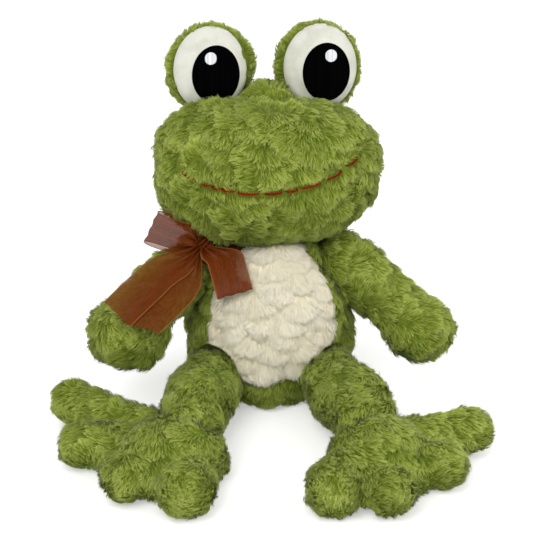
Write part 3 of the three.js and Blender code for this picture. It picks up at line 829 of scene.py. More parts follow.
@dataclass
class Ripples:
    """Smooth random values in space, mostly from -1 to 1."""

    length: float  # over about what distance they change
    rng: np.random.Generator
    count: int = 6  # of the waves that add up to them

    def __post_init__(self) -> None:
        """Chooses the waves."""
        pace = 2 * math.pi / self.length * self.rng.uniform(0.7, 1.4, (self.count, 1))
        self.waves = unit(self.rng.normal(0, 1, (self.count, 3))) * pace
        self.phases = self.rng.uniform(0, 2 * math.pi, self.count)

    def at(self, points: np.ndarray) -> np.ndarray:
        """The values at some points."""
        return 1.6 * np.sin(points @ self.waves.T + self.phases).mean(axis=1)


@dataclass
class Covered:
    """Where points lie in the swirls that cover them, in shares of a swirl."""

    swirl: np.ndarray  # which one
    offset: np.ndarray  # from its middle
    down: np.ndarray  # the way that it is combed
    aside: np.ndarray

    @property
    def share(self) -> np.ndarray:
        """How near each point is to its swirl's far edge, from 0 to 1."""
        return np.clip(0.5 + 0.7 * self.down, 0, 1)

    @property
    def left(self) -> np.ndarray:
        """How much further the swirl goes on past each point."""
        return SWIRL_AHEAD * np.sqrt(np.maximum(1 - (self.aside / SWIRL_HALF_WIDTH) ** 2, 0)) - self.down


@dataclass
class Swirls:
    """The overlapping swirls that a piece's pile is combed in."""

    middles: np.ndarray
    ways: np.ndarray
    swells: np.ndarray  # how far each stands out, as a share of the relief
    tones: np.ndarray
    size: float
    squeeze: np.ndarray  # what distances are multiplied by, so that the swirls come out wide
    warps: list[Ripples]  # that bend the swirls' outlines, one for each axis
    bend: float  # how far they bend them

    def covering(self, points: np.ndarray) -> Covered:
        """Tells which swirl covers each point: of those that reach it, the one that comes from furthest off.

        Args:
            points: the points.

        Returns:
            Where each point lies in its swirl.
        """
        parts = []
        bent = points + self.bend * np.stack([warp.at(points) for warp in self.warps], axis=1)
        for start in range(0, len(points), TOGETHER):
            offset = (bent[start : start + TOGETHER, None] - self.middles[None]) / self.size
            down = (offset * self.ways[None]).sum(axis=2)
            aside = np.linalg.norm((offset - self.ways[None] * down[:, :, None]) * self.squeeze, axis=2)
            limit = np.where(down > 0, SWIRL_AHEAD, SWIRL_BEHIND)
            reach = (aside / SWIRL_HALF_WIDTH) ** 2 + (down / limit) ** 2
            chosen = np.where(reach < 1, down, -reach - 1).argmax(axis=1)
            rows = np.arange(len(chosen))
            parts.append((chosen, offset[rows, chosen], down[rows, chosen], aside[rows, chosen]))
        return Covered(*(np.concatenate(column) for column in zip(*parts)))


@dataclass
class StuffedPiece:
    """A stuffed piece of the frog: its cloth, drawn in from its solid, and the pile that covers it."""

    node: str
    body: str
    pile: Pile
    combing: Combing
    finish: Finish = Finish.GREEN
    fill: float = 0.8
    voxel: float = 2.4 * MM
    seed: int = 0
    sockets: bool = False  # whether other pieces' roots turn in hollows of this one
    mouth: np.ndarray | None = None  # the line that the pile parts along
    bumps: tuple[Bump, ...] = ()

    def swirls(self, skin: Skin, rng: np.random.Generator) -> Swirls:
        """Chooses the swirls and the way that each is combed.

        Args:
            skin: the cloth.
            rng: the random source.

        Returns:
            The swirls.
        """
        pile = self.pile
        squeeze = np.array([1 / pile.stretch, 1.0, 1.0])
        many = int(skin.measure().sum() / pile.swirl**2 * SWIRL_TRIES)
        points, normals, _ = skin.scatter(many, rng)
        kept = spaced_out(points * squeeze, pile.swirl * SWIRL_GAP)
        points, normals = points[kept], normals[kept]
        way = across_surface(self.combing.at(points), normals)
        side = np.cross(normals, way)
        turn = np.radians(rng.normal(0, pile.stray_deg, len(points)))[:, None]
        ways = way * np.cos(turn) + side * np.sin(turn)
        swells = rng.uniform(*SWELLS, len(points))
        warps = [Ripples(0.75 * pile.swirl, rng) for _ in range(3)]
        tones = rng.random(len(points))
        bend = pile.ragged * pile.swirl
        return Swirls(points, ways, swells, tones, pile.swirl, squeeze, warps, bend)

    def raise_swirls(self, skin: Skin, swirls: Swirls) -> None:
        """Swells the cloth under each swirl, most towards its far edge.

        Args:
            skin: the cloth, which is changed.
            swirls: the swirls.
        """
        place = swirls.covering(skin.points)
        across = np.clip(1 - SIDE_FALL * (place.aside / SWIRL_HALF_WIDTH) ** 2, 0, 1)
        swell = swirls.swells[place.swirl] * place.share**SWELL_POWER * across - SWELL_SINK
        skin.points = skin.points + skin.normals * (self.pile.relief * swell)[:, None]
        skin.refresh()

    def strands(
        self, skin: Skin, swirls: Swirls, per_square_mm: float, curved: bool, rng: np.random.Generator
    ) -> tuple[np.ndarray, np.ndarray, np.ndarray, np.ndarray]:
        """Grows the pile.

        Args:
            skin: the cloth.
            swirls: the swirls it is combed in.
            per_square_mm: how many strands grow.
            curved: whether the strands bend, or are straight and cheap.
            rng: the random source.

        Returns:
            The strands' centre lines, their radii, their tones and the cloth's normals under them.
        """
        pile = self.pile
        count = int(skin.measure().sum() / MM**2 * per_square_mm)
        roots, normals, shaded = skin.scatter(count, rng)
        place = swirls.covering(roots)
        share = place.share
        fanned = swirls.ways[place.swirl] + 2 * pile.spread * place.offset
        lean = across_surface(fanned + rng.normal(0, LEAN_STRAY, (count, 3)), normals)
        curl = np.radians(pile.curl_deg * Ripples(0.6 * pile.swirl, rng).at(roots))[:, None]
        lean = lean * np.cos(curl) + np.cross(normals, lean) * np.sin(curl)
        lift_stray = rng.normal(0, LIFT_STRAY_DEG, count)
        lift = np.radians(pile.lift_deg + pile.lift_gain_deg * (share - 0.5) + lift_stray)
        length_stray = rng.normal(0, LENGTH_STRAY, count)
        lengths = pile.length * (LENGTH_AT_START + LENGTH_GAIN * share + length_stray)
        lengths = np.clip(place.left * pile.swirl + pile.overhang, LEAST_LENGTH * pile.length, lengths)
        pressed = 1 - smooth_share(roots[:, 2], PRESSED_FROM, PRESSED_TO)
        lengths = lengths * (1 - PRESSED_SHARE * pressed)

        # Strands gather into locks
        lock_heads = spaced_out(roots, pile.lock)
        locks = nearest(roots, roots[lock_heads])
        twist = rng.normal(0, LOCK_TWIST, len(lock_heads))[locks]
        lock_tone = rng.random(len(lock_heads))[locks]
        lengths = lengths * rng.uniform(*LOCK_LENGTHS, len(lock_heads))[locks]

        if self.mouth is not None:
            lengths, lean = self.part_at_mouth(roots, normals, lengths, lean)

        side = np.cross(normals, lean)

        def stretch(angle: np.ndarray, share_of_length: float) -> np.ndarray:
            """One straight part of each strand, at an angle from the cloth."""
            up = normals * np.sin(angle)[:, None] + lean * np.cos(angle)[:, None]
            return up * (lengths * share_of_length)[:, None]

        bend = math.radians(pile.bend_deg)
        halfway = roots + stretch(lift + bend, 0.5)
        middle = halfway + side * (twist * 0.5 * MM)[:, None]
        tip = halfway + stretch(lift - bend, 0.5)
        for points, pull in ((middle, 0.3 * pile.lock_pull), (tip, pile.lock_pull)):
            totals = np.zeros((len(lock_heads), 3))
            np.add.at(totals, locks, points)
            means = totals / np.bincount(locks, minlength=len(lock_heads))[:, None]
            points += (means[locks] - points) * pull

        kept, shrink = self.room(roots, normals, tip, rng)
        middle = roots + (middle - roots) * shrink[:, None]
        tip = roots + (tip - roots) * shrink[:, None]
        base = roots - normals * ROOT_DEPTH
        lines = np.stack([base, middle, tip] if curved else [base, tip], axis=1)
        lines[:, :, 2] = np.maximum(lines[:, :, 2], 0.5 * MM + 0.5 * MM * rng.random((count, 1)))
        # A strand's place in its swirl paints shade and light on it: darker where the swirl starts, paler
        # towards its far edge.
        tones = PAINTED_SHADE_IN_SWIRL * share + TONE_OF_SWIRL * swirls.tones[place.swirl]
        tones = tones + TONE_OF_LOCK * lock_tone + TONE_OF_STRAND * rng.random(count)
        tones = tones + TONE_OF_PATCH * Ripples(PATCH, rng).at(roots)
        thick = pile.thickness * rng.normal(1, 0.12, count)
        radii = thick[:, None] * np.array([CURVED_TAPER if curved else STRAIGHT_TAPER])
        return lines[kept], radii[kept], np.clip(tones, 0, 1)[kept], shaded[kept]

    def part_at_mouth(
        self, roots: np.ndarray, normals: np.ndarray, lengths: np.ndarray, lean: np.ndarray
    ) -> tuple[np.ndarray, np.ndarray]:
        """Shortens the pile beside the mouth's line and turns it away from the line.

        Args:
            roots: the strands' roots.
            normals: the cloth's normals there.
            lengths: the strands' lengths.
            lean: the strands' directions.

        Returns:
            The new lengths and directions.
        """
        closest = self.mouth[nearest(roots, self.mouth)]
        away = roots - closest
        reach = np.linalg.norm(away, axis=1)
        near = 1 - smooth_share(reach, 1 * MM, 4 * MM)
        turned = across_surface(away, normals)
        lean = across_surface(lean * (1 - 0.8 * near)[:, None] + turned * near[:, None], normals)
        return lengths * (1 - 0.25 * near), lean

    def room(
        self, roots: np.ndarray, normals: np.ndarray, tips: np.ndarray, rng: np.random.Generator
    ) -> tuple[np.ndarray, np.ndarray]:
        """Finds what room each strand has before it meets another piece.

        Args:
            roots: the strands' roots.
            normals: the cloth's normals there.
            tips: the strands' tips.
            rng: the random source.

        Returns:
            Which strands stay, and how much each is shortened.
        """
        own = frame["record"]["behaviour"]["bodies"][self.body]
        fixed = solids_tree([n for n in own if n != self.node])
        loose = solids_tree([n for n in frame["nodes"] if n not in own])
        kept = np.ones(len(roots), bool)
        shrink = np.ones(len(roots))
        reach = np.linalg.norm(tips - roots, axis=1)
        ways = (tips - roots) / reach[:, None]
        spare = rng.random(len(roots))
        close = self.pile.inset + LOOK_OUT
        for i, (root, normal, way) in enumerate(zip(roots, normals, ways)):
            place, outward = Vector(root), Vector(normal)
            if fixed and fixed.ray_cast(place, outward, close)[3] is not None:
                kept[i] = False
                continue
            if loose.ray_cast(place, outward, close)[3] is not None:
                kept[i] = not self.sockets and spare[i] < HIDDEN_SHARE
                shrink[i] = HIDDEN_LENGTH
            elif root[2] < close and normal[2] < FACING_DOWN:
                kept[i] = spare[i] < HIDDEN_SHARE
            for tree in (fixed, loose):
                met = tree.ray_cast(place, Vector(way), reach[i])[3] if tree else None
                if met is not None:
                    shrink[i] = min(shrink[i], max(LEAST_SHRINK, SHORT_OF * met / reach[i]))
        return kept, shrink

    def build(self) -> bpy.types.Object:
        """Makes the piece, its cloth and pile in one mesh."""
        rng = np.random.default_rng(self.seed)
        skin = Skin.of_node(self.node, self.voxel, self.pile.inset)
        skin.press(self.bumps)
        swirls = self.swirls(skin, rng)
        self.raise_swirls(skin, swirls)
        skin.points[:, 2] = np.maximum(skin.points[:, 2], LOWEST)
        gathered = Gathered()
        # The cloth takes the dark root colour, painted shade in the gaps between the strands.
        places = np.tile(SKIN_PLACE, (len(skin.points), 1))
        gathered.add(skin.points, [skin.triangles], places, skin.shaded)
        pile = self.pile
        for curved, density in ((True, pile.curved_per_square_mm), (False, pile.straight_per_square_mm)):
            lines, radii, tones, ground = self.strands(skin, swirls, density, curved, rng)
            gathered.tubes(lines, radii, tones, ground=ground, softness=pile.softness)
        made = gathered.mesh(f"{self.node}_pile")
        dressed(made, self.finish, self.body)
        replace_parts(made, self.node)
        return made


def mouth_line() -> np.ndarray:
    """The mouth's centre line, read from its CAD thread and run smooth.

    Returns:
        Points along it, from the frog's right to its left.
    """
    shape = bmesh.new()
    shape.from_mesh(frame["nodes"]["mouth_thread"].data)
    bmesh.ops.remove_doubles(shape, verts=shape.verts, dist=MM / 1000)
    points = np.array([v.co for v in shape.verts])
    shape.free()
    turn = np.arctan2(points[:, 0], -points[:, 1])
    bins = np.linspace(turn.min(), turn.max(), 18)
    stations = [points[(turn >= a) & (turn <= b)] for a, b in zip(bins[:-1], bins[1:])]
    middles = np.array([s.mean(axis=0) for s in stations if len(s) > 3])
    along = np.concatenate([[0], np.cumsum(np.linalg.norm(np.diff(middles, axis=0), axis=1))])
    even = np.linspace(0, along[-1], 160)
    line = np.stack([np.interp(even, along, middles[:, i]) for i in range(3)], axis=1)
    for _ in range(12):
        line[1:-1] = (line[:-2] + 2 * line[1:-1] + line[2:]) / 4
    return line


@dataclass
class Mouth:
    """The smile: one line of backstitches in two-ply thread, each dipping into the pile at its ends."""

    line: np.ndarray
    stitch: float = 14 * MM
    stitch_shares: tuple[float, float] = (0.4, 1.15)  # the shortest and longest, as shares of that
    gap: float = 2 * MM
    gap_shares: tuple[float, ...] = (0.4, 0.8, 1.2, 2.6)
    points: int = 25  # along a stitch
    ply: float = 0.56 * MM
    ply_reach: float = 0.62  # from the thread's middle, as a share of the ply's radius
    twist: float = 3.4 * MM  # along the thread for one turn
    proud: float = 2.2 * MM
    dip: float = 3 * MM
    seed: int = 5

    def build(self) -> bpy.types.Object:
        """Makes the row of stitches."""
        rng = np.random.default_rng(self.seed)
        steps = np.linalg.norm(np.diff(self.line, axis=0), axis=1)
        along = np.concatenate([[0], np.cumsum(steps)])
        outward = unit(self.line * np.array([1.0, 1.0, 0.0]))
        gathered = Gathered()
        start = 0.0
        while start < along[-1] - self.stitch / 2:
            end = min(start + self.stitch * rng.uniform(*self.stitch_shares), along[-1])
            share = np.linspace(0, 1, self.points)
            places = start + (end - start) * share
            middle = np.stack([np.interp(places, along, self.line[:, i]) for i in range(3)], axis=1)
            out = unit(np.stack([np.interp(places, along, outward[:, i]) for i in range(3)], axis=1))
            arch = np.sin(math.pi * share) ** 0.2
            middle = middle + out * (self.proud * arch - self.dip * (1 - arch))[:, None]
            ahead = unit(np.gradient(middle, axis=0))
            up = np.cross(out, ahead)
            phase = 2 * math.pi * places / self.twist
            plies = []
            for ply in range(2):
                turn = phase + math.pi * ply
                offset = up * np.cos(turn)[:, None] + out * np.sin(turn)[:, None]
                plies.append(middle + offset * self.ply * self.ply_reach)
            radii = np.tile(self.ply * (0.4 + 0.6 * arch), (2, 1))
            gathered.tubes(np.stack(plies), radii, rng.uniform(0.2, 0.9, 2), sides=6, pointed=False)
            start = end + self.gap * rng.choice(self.gap_shares)
        made = dressed(gathered.mesh("mouth_stitches"), Finish.RED, "head")
        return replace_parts(made, "mouth_thread")


@dataclass
class Eye:
    """An eye's felt panel, its stitched pupil and the stitched glint."""

    side: str
    sign: int
    white_lift: float = 2.0 * MM
    pupil_lift: float = 2.9 * MM
    thread: float = 0.27 * MM
    spacing: float = 0.42 * MM
    puff: float = 0.5 * MM  # how much higher a stitch's middle lies than its ends
    border: float = 2.3 * MM  # width of the satin edge
    border_puff: float = 0.75 * MM
    tall: float = 1.12  # the panel's height for its width
    rings: int = 16

    def __post_init__(self) -> None:
        """Prepares the stuffed eye's surface for rays."""
        self.surface = solids_tree([f"eye_{self.side}"])
        self.rng = np.random.default_rng(60 + self.sign)

    def oval(self, part: str) -> tuple[np.ndarray, np.ndarray]:
        """The middle and the half sizes, in X and Z, of one of the eye's CAD layers."""
        low, high = (np.array(c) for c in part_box(f"eye_{self.side}_{part}"))
        return ((low + high) / 2)[[0, 2]], ((high - low) / 2)[[0, 2]]

    def laid(self, flat: np.ndarray, lift: np.ndarray) -> np.ndarray:
        """Lays points of the front view on the eye.

        Args:
            flat: one row of X and Z for each point.
            lift: how far in front of the eye's surface each lies.

        Returns:
            The points in space.
        """
        out = []
        deepest = 0.0
        for (x, z), height in zip(flat, lift):
            place, normal, _, _ = self.surface.ray_cast(Vector((x, -1, z)), Vector((0, 1, 0)))
            if place is None:
                place, normal, _, _ = self.surface.find_nearest(Vector((x, deepest, z)))
                place = Vector((x, place.y, z))
            deepest = place.y
            out.append(place + Vector((0, -height, 0)))
        return np.array(out)

    def pad(
        self, name: str, middle: np.ndarray, half: np.ndarray, low: float, high: float
    ) -> bpy.types.Object:
        """A thin pad with a rolled edge, laid on the eye.

        Args:
            name: its name.
            middle: its middle in the front view.
            half: its half sizes.
            low: how high its rim lies over the eye's surface.
            high: how high its top lies.

        Returns:
            The pad.
        """
        shape = bmesh.new()
        edge = 0.06  # how much of the radius rolls over
        rim = [(1 - 2.5 * edge, 1.0), (1 - edge, 0.92), (1 - 0.3 * edge, 0.7), (1.0, 0.35), (1.0, 0.0)]
        verts = [shape.verts.new((r, 0, h)) for r, h in [(0.0, 1.0), *rim]]
        edges = [shape.edges.new(pair) for pair in zip(verts, verts[1:])]
        bmesh.ops.subdivide_edges(shape, edges=[edges[0]], cuts=self.rings)
        bmesh.ops.spin(
            shape,
            geom=shape.verts[:] + shape.edges[:],
            cent=(0, 0, 0),
            axis=(0, 0, 1),
            angle=2 * math.pi,
            steps=96,
            use_merge=True,
        )
        bmesh.ops.remove_doubles(shape, verts=shape.verts, dist=1e-5)
        flat = np.array([(v.co.x, v.co.y) for v in shape.verts]) * half + middle
        lift = low + (high - low) * np.array([v.co.z for v in shape.verts])
        for vert, place in zip(shape.verts, self.laid(flat, lift)):
            vert.co = place
        bmesh.ops.recalc_face_normals(shape, faces=shape.faces)
        facing = sum((f.normal.y * f.calc_area() for f in shape.faces), 0.0)
        if facing > 0:
            bmesh.ops.reverse_faces(shape, faces=shape.faces)
        return as_object(shape, name)

    def stitched(self, middle: np.ndarray, half: np.ndarray, lift: float, bordered: bool) -> Gathered:
        """Rows of satin stitches filling an oval, with a raised satin edge if it is bordered.

        Args:
            middle: the oval's middle in the front view.
            half: its half sizes.
            lift: how high the stitches lie over the eye's surface.
            bordered: whether a raised edge of short stitches goes round it.

        Returns:
            The stitches.
        """
        rows = np.arange(-half[0] + self.spacing, half[0] - self.spacing / 2, self.spacing)
        steps = 15
        share = np.linspace(-1, 1, steps)
        lines = []
        for x in rows:
            tall = half[1] * math.sqrt(max(1 - (x / half[0]) ** 2, 0.0))
            flat = np.stack([np.full(steps, x), tall * share], axis=1) + middle
            puff = self.puff * (1 - np.abs(share) ** 6)
            lines.append(self.laid(flat, lift + puff - 0.25 * MM))
        groups = [np.array(lines)]
        if bordered:
            around = 2 * math.pi * (half.mean() / self.spacing)
            turns = np.linspace(0, 2 * math.pi, int(around), endpoint=False)
            share = np.linspace(-1, 1, 7)
            ring = []
            for turn in turns:
                way = np.array([math.cos(turn), math.sin(turn)])
                places = (half * way)[None] + way[None] * (share * self.border / 2 - self.border / 4)[:, None]
                puff = self.border_puff * (1 - share**2)
                ring.append(self.laid(places + middle, lift + puff - 0.1 * MM))
            groups.append(np.array(ring))
        gathered = Gathered()
        for stitches in groups:
            radii = np.full(stitches.shape[:2], self.thread)
            gathered.tubes(stitches, radii, self.rng.random(len(stitches)), sides=5, pointed=False)
        return gathered

    def build(self) -> None:
        """Makes the panel, the pupil and the glint."""
        name = f"eye_{self.side}"
        middle, half = self.oval("white")
        low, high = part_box(f"{name}_white")
        half[1] = max((high[2] - low[2]) / 2, half[0] * self.tall)  # its foot is under the forehead's pile
        middle[1] = high[2] - half[1]
        white = self.pad(f"{name}_white_panel", middle, half, -0.4 * MM, self.white_lift)
        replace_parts(dressed(white, Finish.FELT, "head"), f"{name}_white")
        middle, half = self.oval("pupil")
        low, high = self.white_lift - 0.3 * MM, self.pupil_lift - 0.1 * MM
        backing = self.pad(f"{name}_pupil_backing", middle, half, low, high)
        dressed(self.with_map(backing), Finish.BLACK, "head")
        stitches = self.stitched(middle, half - self.border / 2, self.pupil_lift, True)
        pupil = dressed(stitches.mesh(f"{name}_pupil_stitches"), Finish.BLACK, "head")
        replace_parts(pupil, f"{name}_pupil")
        middle, half = self.oval("glint")
        low, high = self.pupil_lift, self.pupil_lift + 0.8 * MM
        backing = self.pad(f"{name}_glint_backing", middle, half, low, high)
        dressed(self.with_map(backing), Finish.WHITE, "head")
        stitches = self.stitched(middle, half, self.pupil_lift + 0.9 * MM, False)
        glint = dressed(stitches.mesh(f"{name}_glint_stitches"), Finish.WHITE, "head")
        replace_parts(glint, f"{name}_glint")

    @staticmethod
    def with_map(made: bpy.types.Object) -> bpy.types.Object:
        """Gives a pad one place on the strand map, so that it has its threads' darkest tone."""
        layer = made.data.uv_layers.new(name=STRAND_MAP)
        layer.data.foreach_set("uv", np.full(2 * len(made.data.loops), 0.1, np.float32))
        return made


# ---------------------------------------------------------------- ribbon


@dataclass(frozen=True)
class RibbonRun:
    """A stretch of the ribbon: where its middle line goes, and which way its width lies."""

    name: str
    node: str  # the CAD node that it stands for
    middles: np.ndarray
    widths: np.ndarray  # the width's direction at each place on the middle line
    spread: np.ndarray  # how much of the width is spread out there, the rest being in pleats
    slant: np.ndarray  # how far along each place is moved for a place on the edge
    held: str
    rests_on: tuple[str, ...] = ()
    pleats: int = 3
    closed: bool = False
    waver: float = 0.0  # of its edges, from the flat
    seed: int = 0
    blend_rows: tuple[int, int] | None = None  # two of its rows; a run that has them is set on no body


TAIL_ROWS, LOOP_ROWS, BAND_ROWS, KNOT_ROWS = 90, 121, 240, 60  # places along each kind of stretch
SPREAD_FULL = 0.985  # of the width, where the ribbon is spread out
PLEAT_SHAPE = 4.4  # the hidden width in a pleat for its depth
PLEAT_SHARPNESS = 0.75  # 1 for round pleats, and less for square ones
DRAWN_POWER = 40  # how suddenly the band is drawn out to the knot


@dataclass
class Bow:
    """The ribbon round the neck and its bow: a pleated band, a knot, two loops and two tails."""

    lean_deg: float = 14.0
    neck: float = 83 * MM
    neck_radius: float = 36 * MM
    groove: float = 3 * MM
    band_slope_deg: float = 27.0
    band_tilt_deg: float = 10.0
    knot_reach: float = 50.5 * MM
    knot_turn_deg: float = 61.7
    knot_rise: float = 19.6 * MM
    knot_radius: float = 5.6 * MM
    width: float = 25 * MM
    gather: float = 0.22
    band_width: float = 4.5 * MM
    columns: int = 36
    opening: float = 5 * MM  # between a loop's two layers
    tail_way: Triple = (-0.54, -0.68, -0.49)
    side_way: Triple = (-0.93, -0.23, 0.34)
    front_way: Triple = (0.24, -0.65, -0.73)

    def __post_init__(self) -> None:
        """Works out the torso's frame and the knot's place in it."""
        self.frame = Matrix.Rotation(-math.radians(self.lean_deg), 3, "X")
        turn = math.radians(self.knot_turn_deg)
        self.knot = np.array(
            [-self.knot_reach * math.sin(turn), -self.knot_reach * math.cos(turn), self.neck + self.knot_rise]
        )

    def world(self, rows: np.ndarray) -> np.ndarray:
        """Turns places or directions from the torso's frame to the frog's."""
        return rows @ np.array(self.frame).T

    def axes(self, along: Triple, showing: Triple) -> tuple[np.ndarray, np.ndarray, np.ndarray]:
        """Axes at the knot: along, across, and towards the side that shows."""
        x = unit(np.array(along))
        y = unit(np.cross(np.array(showing), x))
        return x, y, np.cross(x, y)

    def tail(
        self, name: str, length: float, offset: float, lift: float, cut: float, seed: int
    ) -> RibbonRun:
        """A tail that lies over the arm.

        Args:
            name: the CAD node that it stands for.
            length: how far it reaches from the knot.
            offset: how far it lies to one side.
            lift: how high it lies over the other tail.
            cut: how far its end is cut aslant, as a share of its width.
            seed: for its creases.

        Returns:
            The run.
        """
        x, y, z = self.axes(self.tail_way, (0.1, -0.8, 0.5))
        share = np.linspace(0, 1, TAIL_ROWS)
        aside = smooth_share(share, 0, 0.5)
        middles = self.knot + np.outer(self.knot_radius * 0.5 + (length + self.knot_radius * 0.5) * share, x)
        ripple = 0.7 * MM * np.sin(7 * share + seed) * aside
        middles += np.outer(offset * aside, y)
        middles += np.outer(lift - 2 * MM * np.sin(math.pi * share) + ripple, z)
        widths = np.repeat(y[None], TAIL_ROWS, axis=0)
        spread = self.gather + (SPREAD_FULL - self.gather) * smooth_share(share, 0, 0.34)
        slant = cut * smooth_share(share, 0.5, 1)
        return RibbonRun(
            f"{name}_ribbon",
            name,
            middles,
            widths,
            spread,
            slant,
            "laid",
            rests_on=("arm_right_pile",),
            waver=0.5 * MM,
            seed=seed,
            blend_rows=(8, 40),
        )

    def loop(
        self, name: str, along: Triple, showing: Triple, length: float, offset: float, seed: int
    ) -> RibbonRun:
        """A loop of the bow, out from the knot and back beneath itself.

        Args:
            name: the CAD node that it stands for.
            along: its direction.
            showing: the way that its outer side faces.
            length: how far out it goes.
            offset: how far it swings to one side.
            seed: for its creases.

        Returns:
            The run.
        """
        x, y, z = self.axes(along, showing)
        share = np.linspace(0, 1, LOOP_ROWS)
        out = np.sin(math.pi * share)
        height = self.opening / 2 * np.sin(2 * math.pi * share) + self.opening * (0.5 - share)
        middles = self.knot + np.outer(self.knot_radius * 0.6 + (length + self.knot_radius * 0.4) * out, x)
        middles += np.outer(height, z)
        middles += np.outer(offset * smooth_share(out, 0, 0.38), y)
        widths = np.repeat(y[None], LOOP_ROWS, axis=0)
        spread = self.gather + (SPREAD_FULL - self.gather) * smooth_share(out, 0, 0.28)
        slant = np.zeros(LOOP_ROWS)
        return RibbonRun(
            f"{name}_ribbon", name, middles, widths, spread, slant, "folded", waver=0.35 * MM, seed=seed
        )

    def band(self) -> RibbonRun:
        """The band round the neck, drawn in to pleats and out to the knot."""
        knot_turn = math.atan2(self.knot[1], self.knot[0])
        turn = knot_turn + 2 * math.pi * np.arange(BAND_ROWS) / BAND_ROWS
        facing = np.maximum(np.cos(turn - knot_turn), 0)
        drawn = facing**DRAWN_POWER
        slope = np.radians(self.band_slope_deg + self.band_tilt_deg * (1 - facing**2))
        middle_r = (self.neck_radius - self.groove / 2) * np.cos(slope)
        height = self.neck + self.neck_radius * np.sin(slope)
        knot_r = math.hypot(self.knot[0], self.knot[1]) - self.knot_radius - 1.2 * MM
        reach = middle_r - 0.5 * MM + (knot_r - middle_r) * drawn
        rise = height + (self.knot[2] - height) * drawn
        lean = slope * (1 - drawn)
        out = np.stack([np.cos(turn), np.sin(turn), np.zeros(BAND_ROWS)], axis=1)
        middles = out * reach[:, None] + np.outer(rise, [0, 0, 1])
        widths = -out * np.sin(lean)[:, None] + np.outer(np.cos(lean), [0, 0, 1])
        spread = np.full(BAND_ROWS, self.band_width / self.width) * (1 - 0.3 * drawn)
        return RibbonRun(
            "neck_band_ribbon",
            "neck_ribbon",
            middles,
            widths,
            spread,
            np.zeros(BAND_ROWS),
            "gathered",
            rests_on=("torso_pile",),
            pleats=4,
            closed=True,
            seed=3,
        )

    def knot_wrap(self) -> RibbonRun:
        """The short wrap that holds the bow's waist."""
        side = unit(np.array(self.side_way))
        front = unit(np.array(self.front_way))
        axis = unit(side - front)
        first = unit(np.cross(axis, [0.0, -1.0, 0.3]))
        second = np.cross(axis, first)
        turn = 2 * math.pi * np.arange(KNOT_ROWS) / KNOT_ROWS
        radius = self.knot_radius
        round_it = np.outer(np.cos(turn), first) * radius + np.outer(np.sin(turn), second) * radius * 0.85
        middles = self.knot + round_it
        widths = np.repeat(axis[None], KNOT_ROWS, axis=0)
        spread = 0.42 + 0.03 * np.sin(3 * turn)
        return RibbonRun(
            "bow_knot_ribbon",
            "bow_knot",
            middles,
            widths,
            spread,
            np.zeros(KNOT_ROWS),
            "gathered",
            pleats=4,
            closed=True,
            seed=9,
        )

    def make(self, run: RibbonRun) -> bpy.types.Object:
        """Makes one stretch of ribbon from a flat grid.

        Args:
            run: where it goes.

        Returns:
            The ribbon.
        """
        rng = np.random.default_rng(run.seed)
        rows = len(run.middles)
        shape = bmesh.new()
        bmesh.ops.create_grid(shape, x_segments=self.columns, y_segments=rows - 1, size=0.5)
        shape.verts.ensure_lookup_table()
        flat = np.array([(v.co.x, v.co.y) for v in shape.verts])
        across = flat[:, 0] * 2
        row = np.rint((flat[:, 1] + 0.5) * (rows - 1)).astype(int)
        ahead = np.roll(run.middles, -1, axis=0) - np.roll(run.middles, 1, axis=0)
        if not run.closed:
            ahead[0] = run.middles[1] - run.middles[0]
            ahead[-1] = run.middles[-1] - run.middles[-2]
        ahead = unit(ahead)
        normals = unit(np.cross(ahead, run.widths))
        spread = run.spread[row]
        deep = self.width * np.sqrt(np.maximum(1 - spread**2, 0)) / (PLEAT_SHAPE * run.pleats)
        phase = rng.uniform(0, 2 * math.pi)
        wander = 0.5 * np.sin(4 * flat[:, 1] + phase)
        fold = np.sin(math.pi * run.pleats * across + phase + wander)
        fold = np.sign(fold) * np.abs(fold) ** PLEAT_SHARPNESS
        bow = run.waver * np.sin(9 * flat[:, 1] + 2 * across + phase) * across**2
        places = run.middles[row] + run.widths[row] * (across * spread * self.width / 2)[:, None]
        places += ahead[row] * (across * run.slant[row] * self.width / 2)[:, None]
        places += normals[row] * (deep * fold + bow)[:, None]
        places = self.world(places)
        for vert, place in zip(shape.verts, places):
            vert.co = place
        layer = shape.loops.layers.uv.new(STRAND_MAP)
        lengths = np.linalg.norm(np.diff(run.middles, axis=0), axis=1)
        along = np.concatenate([[0], np.cumsum(lengths)]) / self.width
        for face in shape.faces:
            for loop in face.loops:
                i = loop.vert.index
                loop[layer].uv = ((across[i] + 1) / 2, along[row[i]])
        if run.closed:
            ends = [v for v, r in zip(shape.verts, row) if r in (0, rows - 1)]
            edges = [e for e in shape.edges if e.is_boundary and all(v in ends for v in e.verts)]
            bmesh.ops.bridge_loops(shape, edges=edges)
        made = as_object(shape, run.name)
        length = float(along[-1] * self.width)
        if run.closed:
            length += float(np.linalg.norm(run.middles[-1] - run.middles[0]))
        dressed(made, Finish.ORGANZA, None if run.blend_rows else "torso")
        if run.blend_rows:
            start, end = self.world(run.middles[list(run.blend_rows)])
            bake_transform(made)
        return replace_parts(made, run.node)

    def build(self) -> None:
        """Makes every stretch of the ribbon."""
        runs = [
            self.band(),
            self.tail("bow_tail_upper", 80 * MM, 8.3 * MM, 0.0, -0.45, 1),
            self.tail("bow_tail_lower", 83 * MM, -8.3 * MM, 1.6 * MM, 0.15, 2),
            self.loop("bow_loop_side", self.side_way, (-0.12, -0.93, -0.22), 33 * MM, 0.0, 4),
            self.loop("bow_loop_front", self.front_way, (-0.05, -0.8, 0.5), 39 * MM, 11 * MM, 6),
            self.knot_wrap(),
        ]
        for run in runs:
            self.make(run)


# ---------------------------------------------------------------- studio


